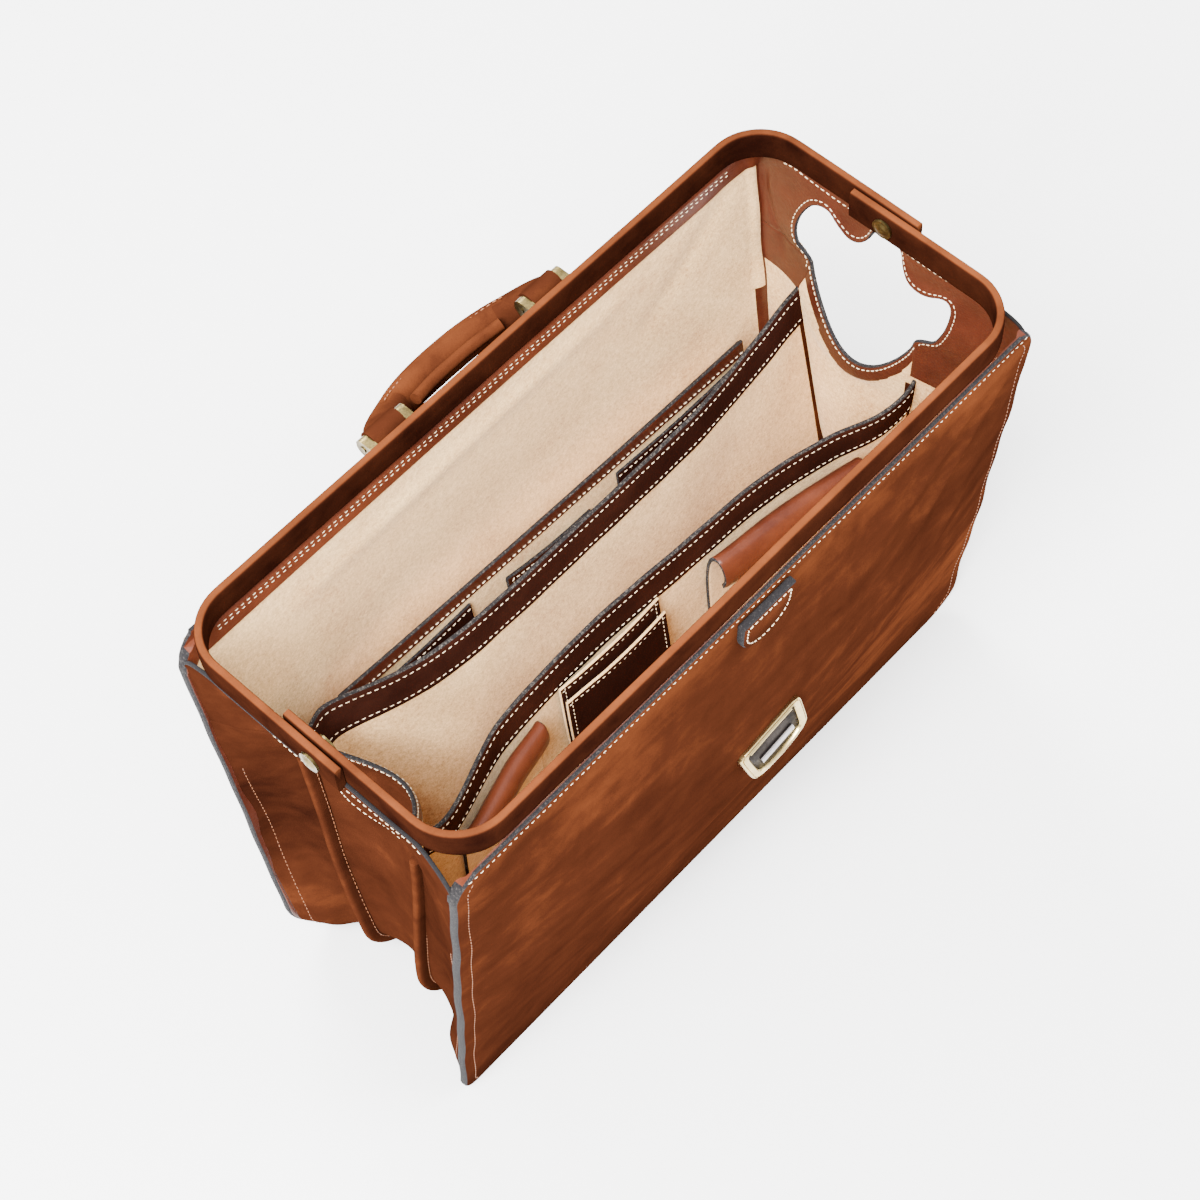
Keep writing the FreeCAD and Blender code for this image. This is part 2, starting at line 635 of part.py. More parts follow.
def make_handle():
    """The padded grip, the slim bar inside it and the two leather ends that turn on the pins."""
    droop = Placement(Vector(0, D["pin_reach"], D["pin_height"]), Rotation(X_AXIS, -D["handle_droop"]))
    bend, centre, span = D["grip_bend"], D["grip_arch"] - D["grip_bend"], D["grip_span"]
    solid("handle_grip", torus_piece(bend, D["grip_radius"], centre, span), droop)
    lip_centre = D["lip_arch"] - D["lip_bend"]
    lip = torus_piece(D["lip_bend"], D["lip_radius"], lip_centre, D["lip_span"])
    solid("handle_lip", lip, droop)
    near, far = D["ear_inner"] + D["ear_thick"] + 0.3, D["ear_outer"] - 0.3
    for name, sign in (("left", -1), ("right", 1)):
        rings = []
        # The neck narrows from the grip's end to the barrel: angle along the bend, radius, set-in.
        for angle, radius, reach in ((span, 10.9, 0), (30, 8.6, 0), (34.5, 6.8, 0.2)):
            a = math.radians(angle)
            at = Vector(sign * bend * math.sin(a), centre + bend * math.cos(a) - reach, 0)
            along = Vector(sign * math.cos(a), -math.sin(a), 0)
            rings.append(Part.Wire(Part.Circle(at, along, radius).toShape()))
        at = Vector(sign * (near + far) / 2, 7.6, 0)
        rings.append(Part.Wire(Part.Circle(at, Vector(sign * 0.35, -1, 0), 6.6).toShape()))
        neck = Part.makeLoft(rings, True)
        start, along = Vector(sign * near, 0, 0), Vector(sign, 0, 0)
        barrel = Part.makeCylinder(D["barrel_radius"], far - near, start, along)
        bore = Part.makeCylinder(D["pin_radius"] + D["pin_gap"], far - near + 20, start - along * 10, along)
        solid(f"handle_end_{name}", neck.fuse(barrel).cut(bore).removeSplitter(), droop)


def check_and_write():
    """Stops if any feature or sub-part failed, then writes one file per sub-part."""
    doc.recompute()
    for obj in doc.Objects:
        if {"Invalid", "Error"} & set(obj.State):
            raise RuntimeError(f"{obj.Name}: {obj.State}")
    os.makedirs("parts", exist_ok=True)
    for obj in PARTS:
        shape = obj.Shape
        if shape.isNull() or not shape.isValid() or shape.Volume <= 0:
            raise RuntimeError(f"{obj.Label}: no valid solid")
        shape.exportStep(f"parts/{obj.Label}.step")
        box = shape.BoundBox
        print(f"{obj.Label:24s} {len(shape.Solids)} solid(s) {shape.Volume:10.0f} mm3  "
              f"x {box.XMin:7.1f} {box.XMax:7.1f}  y {box.YMin:7.1f} {box.YMax:7.1f}  "
              f"z {box.ZMin:7.1f} {box.ZMax:7.1f}")


def main():
    make_base()
    make_gussets()
    make_dividers()
    make_panels()
    make_tab()
    make_organizer()
    make_wings()
    make_lock()
    make_frame()
    make_brackets()
    make_handle()
    check_and_write()


main()
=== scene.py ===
import logging
import math
from dataclasses import dataclass, field
from enum import IntEnum
from typing import Sequence, Union

import bpy
import numpy as np
from mathutils import Matrix, Vector


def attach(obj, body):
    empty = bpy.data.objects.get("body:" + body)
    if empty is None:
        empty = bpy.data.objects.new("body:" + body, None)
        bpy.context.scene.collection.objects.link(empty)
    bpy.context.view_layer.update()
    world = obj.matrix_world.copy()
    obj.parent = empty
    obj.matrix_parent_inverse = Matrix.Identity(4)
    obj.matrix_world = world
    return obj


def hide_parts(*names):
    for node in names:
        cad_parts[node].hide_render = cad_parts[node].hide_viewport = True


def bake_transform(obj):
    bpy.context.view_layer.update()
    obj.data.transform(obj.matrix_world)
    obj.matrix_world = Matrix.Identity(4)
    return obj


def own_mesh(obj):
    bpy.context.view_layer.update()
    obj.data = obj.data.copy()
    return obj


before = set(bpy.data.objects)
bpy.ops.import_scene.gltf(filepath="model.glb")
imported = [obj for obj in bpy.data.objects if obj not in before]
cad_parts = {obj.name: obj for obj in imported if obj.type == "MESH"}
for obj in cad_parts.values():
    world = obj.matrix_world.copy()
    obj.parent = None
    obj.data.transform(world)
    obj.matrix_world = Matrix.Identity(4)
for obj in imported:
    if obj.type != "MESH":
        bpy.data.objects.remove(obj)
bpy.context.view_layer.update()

Array = np.ndarray
Point = tuple[float, float, float]
MM = 0.001
log = logging.getLogger("doctor_bag")


# ---- Surfaces -----------------------------------------------------------------------------------

@dataclass
class Shape:
    """A mesh in millimetres: corners, faces of one size each, and a finish number per face.

    Args:
        points: corners, one row each.
        faces: a list of (faces as rows of corner numbers, finish number per face).
        shade: how much lighter (1) or darker (-1) the finish is at each corner, partly painted light and
            shade.
    """

    points: Array
    faces: list[tuple[Array, Array]]
    shade: Array

    def outward(self) -> "Shape":
        """Turns every face round if the closed shape's signed volume is negative.

        Returns:
            The same shape, with its faces pointing outwards.
        """
        total = 0.0
        for rows, _ in self.faces:
            first = self.points[rows[:, 0]]
            for k in range(1, rows.shape[1] - 1):
                b, c = self.points[rows[:, k]], self.points[rows[:, k + 1]]
                total += float(np.einsum("ij,ij->i", first, np.cross(b, c)).sum())
        if total < 0:
            self.faces = [(rows[:, ::-1], finish) for rows, finish in self.faces]
        return self


def joined(shapes: Sequence[Shape]) -> Shape:
    """Puts several shapes into one.

    Args:
        shapes: the shapes, which stay separate shells.
    Returns:
        One shape that holds them all.
    """
    start, faces = 0, []
    for shape in shapes:
        faces += [(rows + start, finish) for rows, finish in shape.faces]
        start += len(shape.points)
    return Shape(np.concatenate([s.points for s in shapes]), faces,
                 np.concatenate([s.shade for s in shapes]))


def grid_rows(rows: int, columns: int, wrap_rows: bool = False, wrap_columns: bool = False) -> Array:
    """Corner numbers of the quads of a grid whose corners are numbered row by row.

    Args:
        rows: how many rows of corners.
        columns: how many columns.
        wrap_rows: whether the last row joins the first.
        wrap_columns: whether the last column joins the first.
    Returns:
        Four corner numbers per quad.
    """
    i = np.arange(rows if wrap_rows else rows - 1)
    j = np.arange(columns if wrap_columns else columns - 1)
    i, j = (a.ravel() for a in np.meshgrid(i, j, indexing="ij"))
    i2, j2 = (i + 1) % rows, (j + 1) % columns
    return np.stack([i * columns + j, i2 * columns + j, i2 * columns + j2, i * columns + j2], 1)


def face_means(values: Array) -> Array:
    """The mean of a number over the four corners of each quad of a grid."""
    return values.ravel()[grid_rows(*values.shape)].mean(1)


def as_finish(value: Union[int, Array], count: int) -> Array:
    """One finish number per face, from a single number or an array."""
    return np.full(count, value) if np.isscalar(value) else np.asarray(value).ravel()


def sheet(outer: Array, inner: Array, finish: tuple = (0, 0, 0), shade: Union[float, Array] = 0.0,
          rim: float = 0.35) -> Shape:
    """A closed sheet between two matching grids, with a rounded rim.

    The rim runs half an ellipse from the outer grid's border to the inner one's: the middle of the
    two, plus half their difference times a cosine, plus a push along the sheet times a sine.

    Args:
        outer: grid of corners on one side, rows x columns x 3.
        inner: grid of corners on the other side.
        finish: finish of the outer face, the inner face and the rim; a face's may be an array.
        shade: lighter or darker, for every corner of the outer grid or the whole sheet.
        rim: how far the rim stands out, as a share of the thickness.
    Returns:
        The sheet, facing outwards.
    """
    rows, columns = outer.shape[:2]
    count = rows * columns
    quads = grid_rows(rows, columns)
    loop = np.concatenate([
        np.arange(columns), np.arange(1, rows) * columns + columns - 1,
        np.arange(columns - 2, -1, -1) + (rows - 1) * columns, np.arange(rows - 2, 0, -1) * columns])
    near = np.concatenate([
        np.arange(columns) + columns, np.arange(1, rows) * columns + columns - 2,
        np.arange(columns - 2, -1, -1) + (rows - 2) * columns,
        np.arange(rows - 2, 0, -1) * columns + 1])
    flat_out, flat_in = outer.reshape(-1, 3), inner.reshape(-1, 3)
    middle = (flat_out[loop] + flat_in[loop]) / 2
    half = (flat_out[loop] - flat_in[loop]) / 2
    push = middle - (flat_out[near] + flat_in[near]) / 2
    push /= np.maximum(np.linalg.norm(push, axis=1, keepdims=True), 1e-9)
    push *= 2 * rim * np.linalg.norm(half, axis=1, keepdims=True)
    turns = np.radians([45.0, 90.0, 135.0])
    strips = [middle + half * math.cos(t) + push * math.sin(t) for t in turns]
    size = len(loop)
    index = np.concatenate([[loop], *[[2 * count + k * size + np.arange(size)] for k in range(3)],
                            [loop + count]])
    after = np.roll(index, -1, axis=1)
    edge = np.stack([index[:-1], index[1:], after[1:], after[:-1]], -1).reshape(-1, 4)
    tone = np.broadcast_to(np.asarray(shade, float), (rows, columns)).ravel()
    faces = [(quads, as_finish(finish[0], len(quads))),
             (quads[:, ::-1] + count, as_finish(finish[1], len(quads))),
             (edge[:, ::-1], as_finish(finish[2], len(edge)))]
    return Shape(np.concatenate([flat_out, flat_in, *strips]), faces,
                 np.concatenate([tone, tone, *([tone[loop]] * 3)])).outward()


def tube(rings: Array, closed: bool = False, finish: Union[int, Array] = 0,
         shade: Union[float, Array] = 0.0) -> Shape:
    """A closed skin over a row of rings, with its two ends capped by fans unless it closes on itself.

    Args:
        rings: rings x corners x 3.
        closed: whether the last ring joins the first.
        finish: one finish number, or one per quad.
        shade: lighter or darker, one number or one per corner of the rings.
    Returns:
        The skin, facing outwards.
    """
    n, m = rings.shape[:2]
    quads = grid_rows(n, m, wrap_rows=closed, wrap_columns=True)
    points, tone = rings.reshape(-1, 3), np.broadcast_to(np.asarray(shade, float), (n, m)).ravel()
    faces = [(quads, as_finish(finish, len(quads)))]
    if not closed:
        ends = np.stack([rings[0].mean(0), rings[-1].mean(0)])
        points = np.concatenate([points, ends])
        tone = np.concatenate([tone, [tone[0], tone[-1]]])
        j = np.arange(m)
        j2 = (j + 1) % m
        first = np.stack([np.full(m, n * m), j, j2], 1)
        last = np.stack([np.full(m, n * m + 1), (n - 1) * m + j2, (n - 1) * m + j], 1)
        last_finish = faces[0][1]
        faces += [(first, np.full(m, last_finish[0])), (last, np.full(m, last_finish[-1]))]
    return Shape(points, faces, tone).outward()


def travelled(line: Array) -> Array:
    """The distance along a line to each of its points."""
    return np.concatenate([[0], np.cumsum(np.linalg.norm(np.diff(line, axis=0), axis=1))])


def read_off(at: Array, t: Array, rows: Array) -> Array:
    """Rows of numbers that are known at t, read off at other places by straight lines between them."""
    return np.stack([np.interp(at, t, rows[:, k]) for k in range(rows.shape[1])], 1)


def curve(points: Sequence[Sequence[float]], count: int) -> Array:
    """A smooth line through points, at equal steps of the chords' total length.

    Each stretch is a cubic whose end slopes are the slopes between the neighbours on either side.

    Args:
        points: what the line goes through, three points or more.
        count: how many points to return.
    Returns:
        count points on the line.
    """
    p = np.asarray(points, float)
    chord = np.maximum(np.linalg.norm(np.diff(p, axis=0), axis=1), 1e-6)
    t = np.concatenate([[0], np.cumsum(chord)])
    at = np.linspace(0, t[-1], count)
    slope = np.empty_like(p)
    slope[1:-1] = (p[2:] - p[:-2]) / (t[2:] - t[:-2])[:, None]
    slope[0], slope[-1] = (p[1] - p[0]) / chord[0], (p[-1] - p[-2]) / chord[-1]
    k = np.clip(np.searchsorted(t, at, side="right") - 1, 0, len(p) - 2)
    step = (t[k + 1] - t[k])[:, None]
    s = ((at - t[k]) / step[:, 0])[:, None]
    return ((1 + 2 * s) * (1 - s) ** 2 * p[k] + s * (1 - s) ** 2 * step * slope[k]
            + s**2 * (3 - 2 * s) * p[k + 1] + s**2 * (s - 1) * step * slope[k + 1])


def even(path: Array, pitch: float, closed: bool = False) -> Array:
    """The same line with its points at even steps.

    Args:
        path: the line.
        pitch: about how long a step is.
        closed: whether the line closes on itself.
    Returns:
        The new points, read off the line by straight stretches.
    """
    line = np.concatenate([path, path[:1]]) if closed else path
    t = travelled(line)
    count = max(int(round(t[-1] / pitch)), 1) + 1
    at = np.linspace(0, t[-1], count)[: -1 if closed else None]
    return read_off(at, t, line)


def unit(vectors: Array) -> Array:
    """The vectors at length one."""
    return vectors / np.maximum(np.linalg.norm(vectors, axis=-1, keepdims=True), 1e-9)


def tangents(path: Array, closed: bool = False) -> Array:
    """The direction of a line at each of its points, from its neighbours.

    Args:
        path: the line.
        closed: whether it closes on itself.
    Returns:
        One vector of length one per point.
    """
    if closed:
        return unit(np.roll(path, -1, 0) - np.roll(path, 1, 0))
    return unit(np.gradient(path, axis=0))


def swept(path: Array, up: Array, profile: Array, closed: bool = False,
          finish: Union[int, Array] = 0, shade: Union[float, Array] = 0.0) -> Shape:
    """A profile carried along a path: its first number goes sideways, its second along up.

    Args:
        path: points of the path.
        up: the direction of the profile's second number, one or one per point.
        profile: closed loop of (sideways, up), or one such loop per point.
        closed: whether the path closes on itself.
        finish: finish number, or one per face.
        shade: lighter or darker.
    Returns:
        The swept shape.
    """
    along = tangents(path, closed)
    up = np.broadcast_to(np.asarray(up, float), path.shape)
    side = unit(np.cross(along, up))
    lift = np.cross(side, along)
    loops = np.broadcast_to(profile, (len(path),) + profile.shape[-2:])
    rings = path[:, None] + side[:, None] * loops[..., :1] + lift[:, None] * loops[..., 1:]
    return tube(rings, closed, finish, shade)


def oval(across: float, high: float, count: int = 16, power: float = 2.0) -> Array:
    """A superellipse as a closed loop: cosine and sine, each to the power 2 / power, times a half-size.

    Args:
        across: its width.
        high: its height.
        count: how many points it has.
        power: 2 for an ellipse, and more for a squarer loop.
    Returns:
        (across, up) of each point.
    """
    t = np.linspace(0, 2 * math.pi, count, endpoint=False)
    c, s = np.cos(t), np.sin(t)
    return np.stack([across / 2 * np.sign(c) * np.abs(c) ** (2 / power),
                     high / 2 * np.sign(s) * np.abs(s) ** (2 / power)], 1)


def upright(flat: Array, y: float) -> Array:
    """Points (x, z) stood in the XZ plane at a y."""
    return np.stack([flat[:, 0], np.full(len(flat), y), flat[:, 1]], 1)


def plate(outline: Array, thick: float, bevel: float = 0.4, finish: tuple = (0, 0)) -> Shape:
    """A flat piece cut to an outline in its own XZ plane, with its front towards -Y and bevelled rims.

    Args:
        outline: closed loop of (x, z), any number of points, in order.
        thick: thickness, from y = 0 to y = -thick.
        bevel: size of the bevel round both faces.
        finish: finish of the faces and of the rim.
    Returns:
        The plate.
    """
    closed = np.asarray(outline, float)
    after = np.roll(closed, -1, 0)
    if np.sum(closed[:, 0] * after[:, 1] - after[:, 0] * closed[:, 1]) < 0:
        closed = closed[::-1]
    along = unit(np.roll(closed, -1, 0) - np.roll(closed, 1, 0))
    inward = np.stack([-along[:, 1], along[:, 0]], 1)
    levels = [(bevel, 0.0), (0.0, -bevel), (0.0, bevel - thick), (bevel, -thick)]
    rings = np.stack([upright(closed + inward * inset, y) for inset, y in levels])
    n, m = rings.shape[:2]
    quads = grid_rows(n, m, wrap_columns=True)
    faces = [(quads, as_finish(finish[1], len(quads))),
             (np.arange(m)[None, :], np.array([finish[0]])),
             ((np.arange(m)[None, ::-1] + (n - 1) * m), np.array([finish[0]]))]
    return Shape(rings.reshape(-1, 3), faces, np.zeros(n * m)).outward()


def ring_plate(outer: Array, inner: Array, levels: Sequence[tuple[float, float]],
               finish: int = 0) -> Shape:
    """A ring between two matching loops in the XZ plane, closed all round.

    Args:
        outer: outer loop of (x, z).
        inner: inner loop, as many points.
        levels: (share of the way from outer to inner, y) of each line round the section.
        finish: finish number.
    Returns:
        The ring.
    """
    rings = [upright(outer * (1 - share) + inner * share, y) for share, y in levels]
    return tube(np.stack(rings, 1), closed=True, finish=finish)


def moved(shape: Shape, place: Matrix) -> Shape:
    """The shape, placed by a matrix in millimetres."""
    m = np.array(place)
    return Shape(shape.points @ m[:3, :3].T + m[:3, 3], shape.faces, shape.shade)


STITCH_SIDES = 6
STITCH_LOOK = 0.8  # how far each side of a stitch its direction is taken over, in millimetres


def stitches(path: Array, normal: Array, pitch: float = 3.6, length: float = 2.7, wide: float = 0.75,
             closed: bool = False, sink: float = 0.12) -> Shape:
    """Thread stitches along a line: short pods, three six-sided rings and two tips each.

    A pod's corners are its middle plus its direction, side and normal times the template's numbers.

    Args:
        path: the seam's line.
        normal: outward direction there, one or one per point.
        pitch: distance from stitch to stitch.
        length: length of a stitch.
        wide: width of the thread.
        closed: whether the seam closes on itself.
        sink: how far the thread's middle lies above the surface.
    Returns:
        All the pods in one shape.
    """
    every = np.broadcast_to(np.asarray(normal, float), path.shape)
    both = np.concatenate([path, every], 1)
    line = np.concatenate([both, both[:1]]) if closed else both
    t = travelled(line[:, :3])
    count = max(int(t[-1] / pitch), 1)
    at = (np.arange(count) + 0.5) * t[-1] / count
    sample = read_off(at, t, line)
    ahead = read_off(np.minimum(at + STITCH_LOOK, t[-1]), t, line[:, :3])
    behind = read_off(np.maximum(at - STITCH_LOOK, 0), t, line[:, :3])
    along, up = unit(ahead - behind), unit(sample[:, 3:])
    side = unit(np.cross(along, up))
    n = STITCH_SIDES
    turn = np.radians(np.arange(n) * 360.0 / n)
    ring = np.stack([np.zeros(n), np.cos(turn) * wide / 2, np.sin(turn) * wide / 2], 1)
    template = np.concatenate([
        [[-length / 2, 0, -0.25]], ring * [1, 0.75, 0.75] + [-length / 3.2, 0, 0.0], ring,
        ring * [1, 0.75, 0.75] + [length / 3.2, 0, 0.0], [[length / 2, 0, -0.25]]])
    lean = np.random.default_rng(7).normal(0, 0.05, count)[:, None]
    along = unit(along + side * lean)
    centre = sample[:, :3] + up * sink
    points = (centre[:, None] + along[:, None] * template[None, :, :1]
              + side[:, None] * template[None, :, 1:2] + up[:, None] * template[None, :, 2:])
    corners = len(template)
    j = 1 + np.arange(n)
    j2 = 1 + (np.arange(n) + 1) % n
    quads = np.concatenate([np.stack([r + j, r + j2, r + n + j2, r + n + j], 1) for r in (0, n)])
    tips = np.concatenate([np.stack([np.zeros(n, int), j2, j], 1),
                           np.stack([np.full(n, corners - 1), 2 * n + j, 2 * n + j2], 1)])
    shift = (np.arange(count) * corners)[:, None, None]
    faces = [(rows, np.zeros(len(rows), int))
             for rows in ((quads + shift).reshape(-1, 4), (tips + shift).reshape(-1, 3))]
    return Shape(points.reshape(-1, 3), faces, np.zeros(count * corners)).outward()


def folds(u: Array, v: Array, rows: Sequence[tuple]) -> Array:
    """Soft folds on a sheet: each is a bell curve across a segment that fades towards its ends.

    Args:
        u: first coordinate of each point.
        v: second coordinate of each point.
        rows: (start u, start v, end u, end v, width, height) of each fold.
    Returns:
        How far each point stands out.
    """
    total = np.zeros(np.broadcast(u, v).shape)
    for u0, v0, u1, v1, width, height in rows:
        du, dv = u1 - u0, v1 - v0
        t = ((u - u0) * du + (v - v0) * dv) / (du * du + dv * dv)
        away = ((u - u0) * dv - (v - v0) * du) / math.hypot(du, dv)
        fade = np.where((t > 0) & (t < 1), np.sin(np.pi * np.clip(t, 0, 1)) ** 0.7, 0)
        total += height * fade * np.exp(-((away / width) ** 2))
    return total


def smooth(t: Array) -> Array:
    """Zero below 0, one above 1 and a soft S between."""
    t = np.clip(t, 0, 1)
    return t * t * (3 - 2 * t)


# ---- Finishes -----------------------------------------------------------------------------------

class Value:
    """A node's output. Arithmetic on it adds Math nodes to its graph."""

    def __init__(self, graph: "Graph", socket: bpy.types.NodeSocket) -> None:
        """Keeps the graph and the socket."""
        self.graph, self.socket = graph, socket

    def math(self, operation: str, *others: Union["Value", float]) -> "Value":
        """This value and the others through one Math node."""
        sockets = dict(enumerate((self, *others)))
        return self.graph.node("ShaderNodeMath", {"operation": operation}, sockets)

    def __add__(self, other: Union["Value", float]) -> "Value":
        """Adds."""
        return self.math("ADD", other)

    __radd__ = __add__

    def __sub__(self, other: Union["Value", float]) -> "Value":
        """Subtracts."""
        return self.math("SUBTRACT", other)

    def __rsub__(self, other: float) -> "Value":
        """A number minus this value."""
        return self.graph.node("ShaderNodeMath", {"operation": "SUBTRACT"}, {0: other, 1: self})

    def __mul__(self, other: Union["Value", float]) -> "Value":
        """Multiplies."""
        return self.math("MULTIPLY", other)

    __rmul__ = __mul__

    def clamp(self) -> "Value":
        """Held between 0 and 1."""
        return self.graph.node("ShaderNodeClamp", {}, {0: self})

    def step(self, low: float, high: float) -> "Value":
        """0 below low, 1 above high and a soft step between."""
        return self.graph.node("ShaderNodeMapRange", {"interpolation_type": "SMOOTHSTEP"},
                               {0: self, 1: low, 2: high, 3: 0.0, 4: 1.0})


class Graph:
    """A material's nodes, ending in one Principled shader."""

    def __init__(self, name: str) -> None:
        """Makes the material with its output and shader.

        Args:
            name: the material's name.
        """
        self.material = bpy.data.materials.new(name)
        self.material.use_nodes = True
        self.tree = self.material.node_tree
        self.tree.nodes.clear()
        self.shader = self.tree.nodes.new("ShaderNodeBsdfPrincipled")
        output = self.tree.nodes.new("ShaderNodeOutputMaterial")
        self.tree.links.new(self.shader.outputs[0], output.inputs[0])
        self.place = self.node("ShaderNodeTexCoord", {}, {}, "Object")

    def node(self, kind: str, settings: dict, inputs: dict, out: Union[int, str] = 0) -> Value:
        """Adds a node.

        Args:
            kind: its type.
            settings: its own settings, set first; a ramp's stops are under "stops".
            inputs: values or links of its sockets, by name or number.
            out: which output to return.
        Returns:
            That output.
        """
        made = self.tree.nodes.new(kind)
        for key, value in settings.items():
            if key == "stops":
                ramp = made.color_ramp
                while len(ramp.elements) < len(value):
                    ramp.elements.new(0.5)
                for element, (position, colour) in zip(ramp.elements, value):
                    element.position, element.color = position, (*colour, 1.0)
            else:
                setattr(made, key, value)
        for key, value in inputs.items():
            self.put(made.inputs[key], value)
        return Value(self, made.outputs[out])

    def put(self, socket: bpy.types.NodeSocket, value: Union[Value, float, tuple]) -> None:
        """Links a value to a socket, or sets the socket's own number or colour.

        Args:
            socket: the input.
            value: a node's output, a number, or a colour or vector of three.
        """
        if isinstance(value, Value):
            self.tree.links.new(value.socket, socket)
        elif isinstance(value, tuple) and len(value) == 3 and socket.type == "RGBA":
            socket.default_value = (*value, 1.0)
        else:
            socket.default_value = value

    def noise(self, scale: float, detail: float = 3.0, rough: float = 0.55, warp: float = 0.0,
              place: Union[Value, None] = None) -> Value:
        """Noise.

        Args:
            scale: cycles a metre.
            detail: octaves.
            rough: how strong the finer octaves are.
            warp: how far it is pulled about.
            place: coordinates, if not the object's own.
        Returns:
            Its number, about a half.
        """
        return self.node("ShaderNodeTexNoise", {}, {
            "Vector": place or self.place, "Scale": scale, "Detail": detail, "Roughness": rough,
            "Distortion": warp})

    def cells(self, scale: float) -> Value:
        """Distance from the middles of cells, so many a metre."""
        return self.node("ShaderNodeTexVoronoi", {}, {"Vector": self.place, "Scale": scale}, "Distance")

    def stretched(self, scale: Point) -> Value:
        """Object coordinates scaled along each axis."""
        return self.node("ShaderNodeMapping", {}, {"Vector": self.place, "Scale": scale})

    def mix(self, share: Union[Value, float], a: Union[Value, tuple], b: Union[Value, tuple]) -> Value:
        """A colour between two others.

        Args:
            share: how far it is from a to b, from 0 to 1.
            a: the first colour.
            b: the second.
        Returns:
            The mixed colour.
        """
        made = self.tree.nodes.new("ShaderNodeMix")
        made.data_type = "RGBA"
        for socket, value in ((made.inputs[0], share), (made.inputs[6], a), (made.inputs[7], b)):
            self.put(socket, value)
        return Value(self, made.outputs[2])

    def shade(self) -> Value:
        """The lighter or darker number kept on the mesh; on some pieces it is painted highlight and
        shade.
        """
        return self.node("ShaderNodeAttribute", {"attribute_name": "shade"}, {}, "Fac")

    def bump(self, height: Value, strength: float, distance: float) -> Value:
        """A normal from a height."""
        return self.node("ShaderNodeBump", {}, {"Strength": strength, "Distance": distance,
                                               "Height": height})

    def finish(self, **sockets: Union[Value, float, tuple]) -> bpy.types.Material:
        """Sets the shader's sockets.

        Args:
            sockets: their values, with underscores for spaces in their names.
        Returns:
            The finished material.
        """
        for key, value in sockets.items():
            self.put(self.shader.inputs[key.replace("_", " ")], value)
        return self.material


@dataclass(frozen=True)
class Leather:
    """Waxed cowhide: cloudy dye, pores and fine creases under a dull wax.

    Args:
        name: the material's name.
        dark: its colour where the dye is thick, and under painted shade.
        middle: its colour between.
        light: its colour where it is rubbed, and under painted highlights.
        rough: roughness.
        shine: specular level, the same all over.
        relief: strength of the grain.
    """

    name: str
    dark: Point
    middle: Point
    light: Point
    rough: float = 0.42
    shine: float = 0.0
    relief: float = 0.5

    def make(self) -> bpy.types.Material:
        """Builds the finish's nodes.

        Returns:
            The material.
        """
        g = Graph(self.name)
        cloud, mottle = g.noise(7, 2, 0.5, 0.6), g.noise(46, 5, 0.62, 0.4)
        streak = g.noise(30, 3, 0.6, 0.2, g.stretched((0.35, 1.0, 1.6)))
        grain, fine = g.cells(620), g.noise(1500, 2)
        # the shade attribute brings in painted highlights and painted shade, such as the band's top edge
        # and the handle's underside
        tone = ((cloud - 0.5) * 0.7 + (mottle - 0.5) * 0.5 + (streak - 0.5) * 0.5
                + g.shade() * 0.5 + (fine - 0.5) * 0.16 + 0.5).clamp()
        colour = g.node("ShaderNodeValToRGB",
                        {"stops": [(0.0, self.dark), (0.5, self.middle), (1.0, self.light)]}, {0: tone})
        crease = g.noise(120, 4, 0.6, 1.2)
        height = grain * 0.35 + fine * 0.35 + crease * 0.6 + mottle * 0.5
        rough = self.rough + (mottle - 0.5) * 0.16 + grain * 0.05
        return g.finish(Base_Color=colour, Roughness=rough,
                        Normal=g.bump(height, self.relief, 0.0004), Specular_IOR_Level=self.shine)


@dataclass(frozen=True)
class Suede:
    """Split leather with a brushed nap: pale speckle, brushed patches and a soft sheen."""

    name: str
    dark: Point
    light: Point

    def make(self) -> bpy.types.Material:
        """Builds the finish's nodes.

        Returns:
            The material.
        """
        g = Graph(self.name)
        nap, speck = g.noise(420, 3, 0.7), g.noise(1100, 3, 0.7)
        brushed = g.noise(11, 3, 0.55, 0.8)
        patch = g.noise(60, 4, 0.6)
        tone = ((nap - 0.5) * 1.3 + (speck - 0.5) * 1.4 + (brushed - 0.5) * 0.9
                + (patch - 0.5) * 0.4 + g.shade() * 0.6 + 0.55).clamp()
        colour = g.mix(tone, self.dark, self.light)
        height = nap * 0.7 + speck * 0.5
        return g.finish(Base_Color=colour, Roughness=0.95, Normal=g.bump(height, 0.7, 0.0006),
                        Specular_IOR_Level=0.12, Sheen_Weight=0.25, Sheen_Roughness=0.5,
                        Sheen_Tint=(1.0, 0.9, 0.75))


@dataclass(frozen=True)
class CutEdge:
    """The raw edge of thick leather: dark fibres with pale fuzz."""

    name: str
    dark: Point
    pale: Point
    fuzz: float

    def make(self) -> bpy.types.Material:
        """Builds the finish's nodes.

        Returns:
            The material.
        """
        g = Graph(self.name)
        fibre, lump = g.noise(1600, 4, 0.75), g.noise(700, 3, 0.6)
        share = ((fibre * 0.6 + lump * 0.55 + self.fuzz) + g.shade() * 0.2).step(0.45, 0.8)
        return g.finish(Base_Color=g.mix(share, self.dark, self.pale), Roughness=0.85,
                        Normal=g.bump(fibre, 0.8, 0.0008), Specular_IOR_Level=0.2)


@dataclass(frozen=True)
class Thread:
    """Waxed linen thread with its twist."""

    name: str
    dark: Point
    light: Point

    def make(self) -> bpy.types.Material:
        """Builds the finish's nodes.

        Returns:
            The material.
        """
        g = Graph(self.name)
        twist = g.noise(1500, 2, 0.5)
        return g.finish(Base_Color=g.mix(twist.step(0.35, 0.6), self.dark, self.light), Roughness=0.6,
                        Normal=g.bump(twist, 0.6, 0.0003), Specular_IOR_Level=0.3)


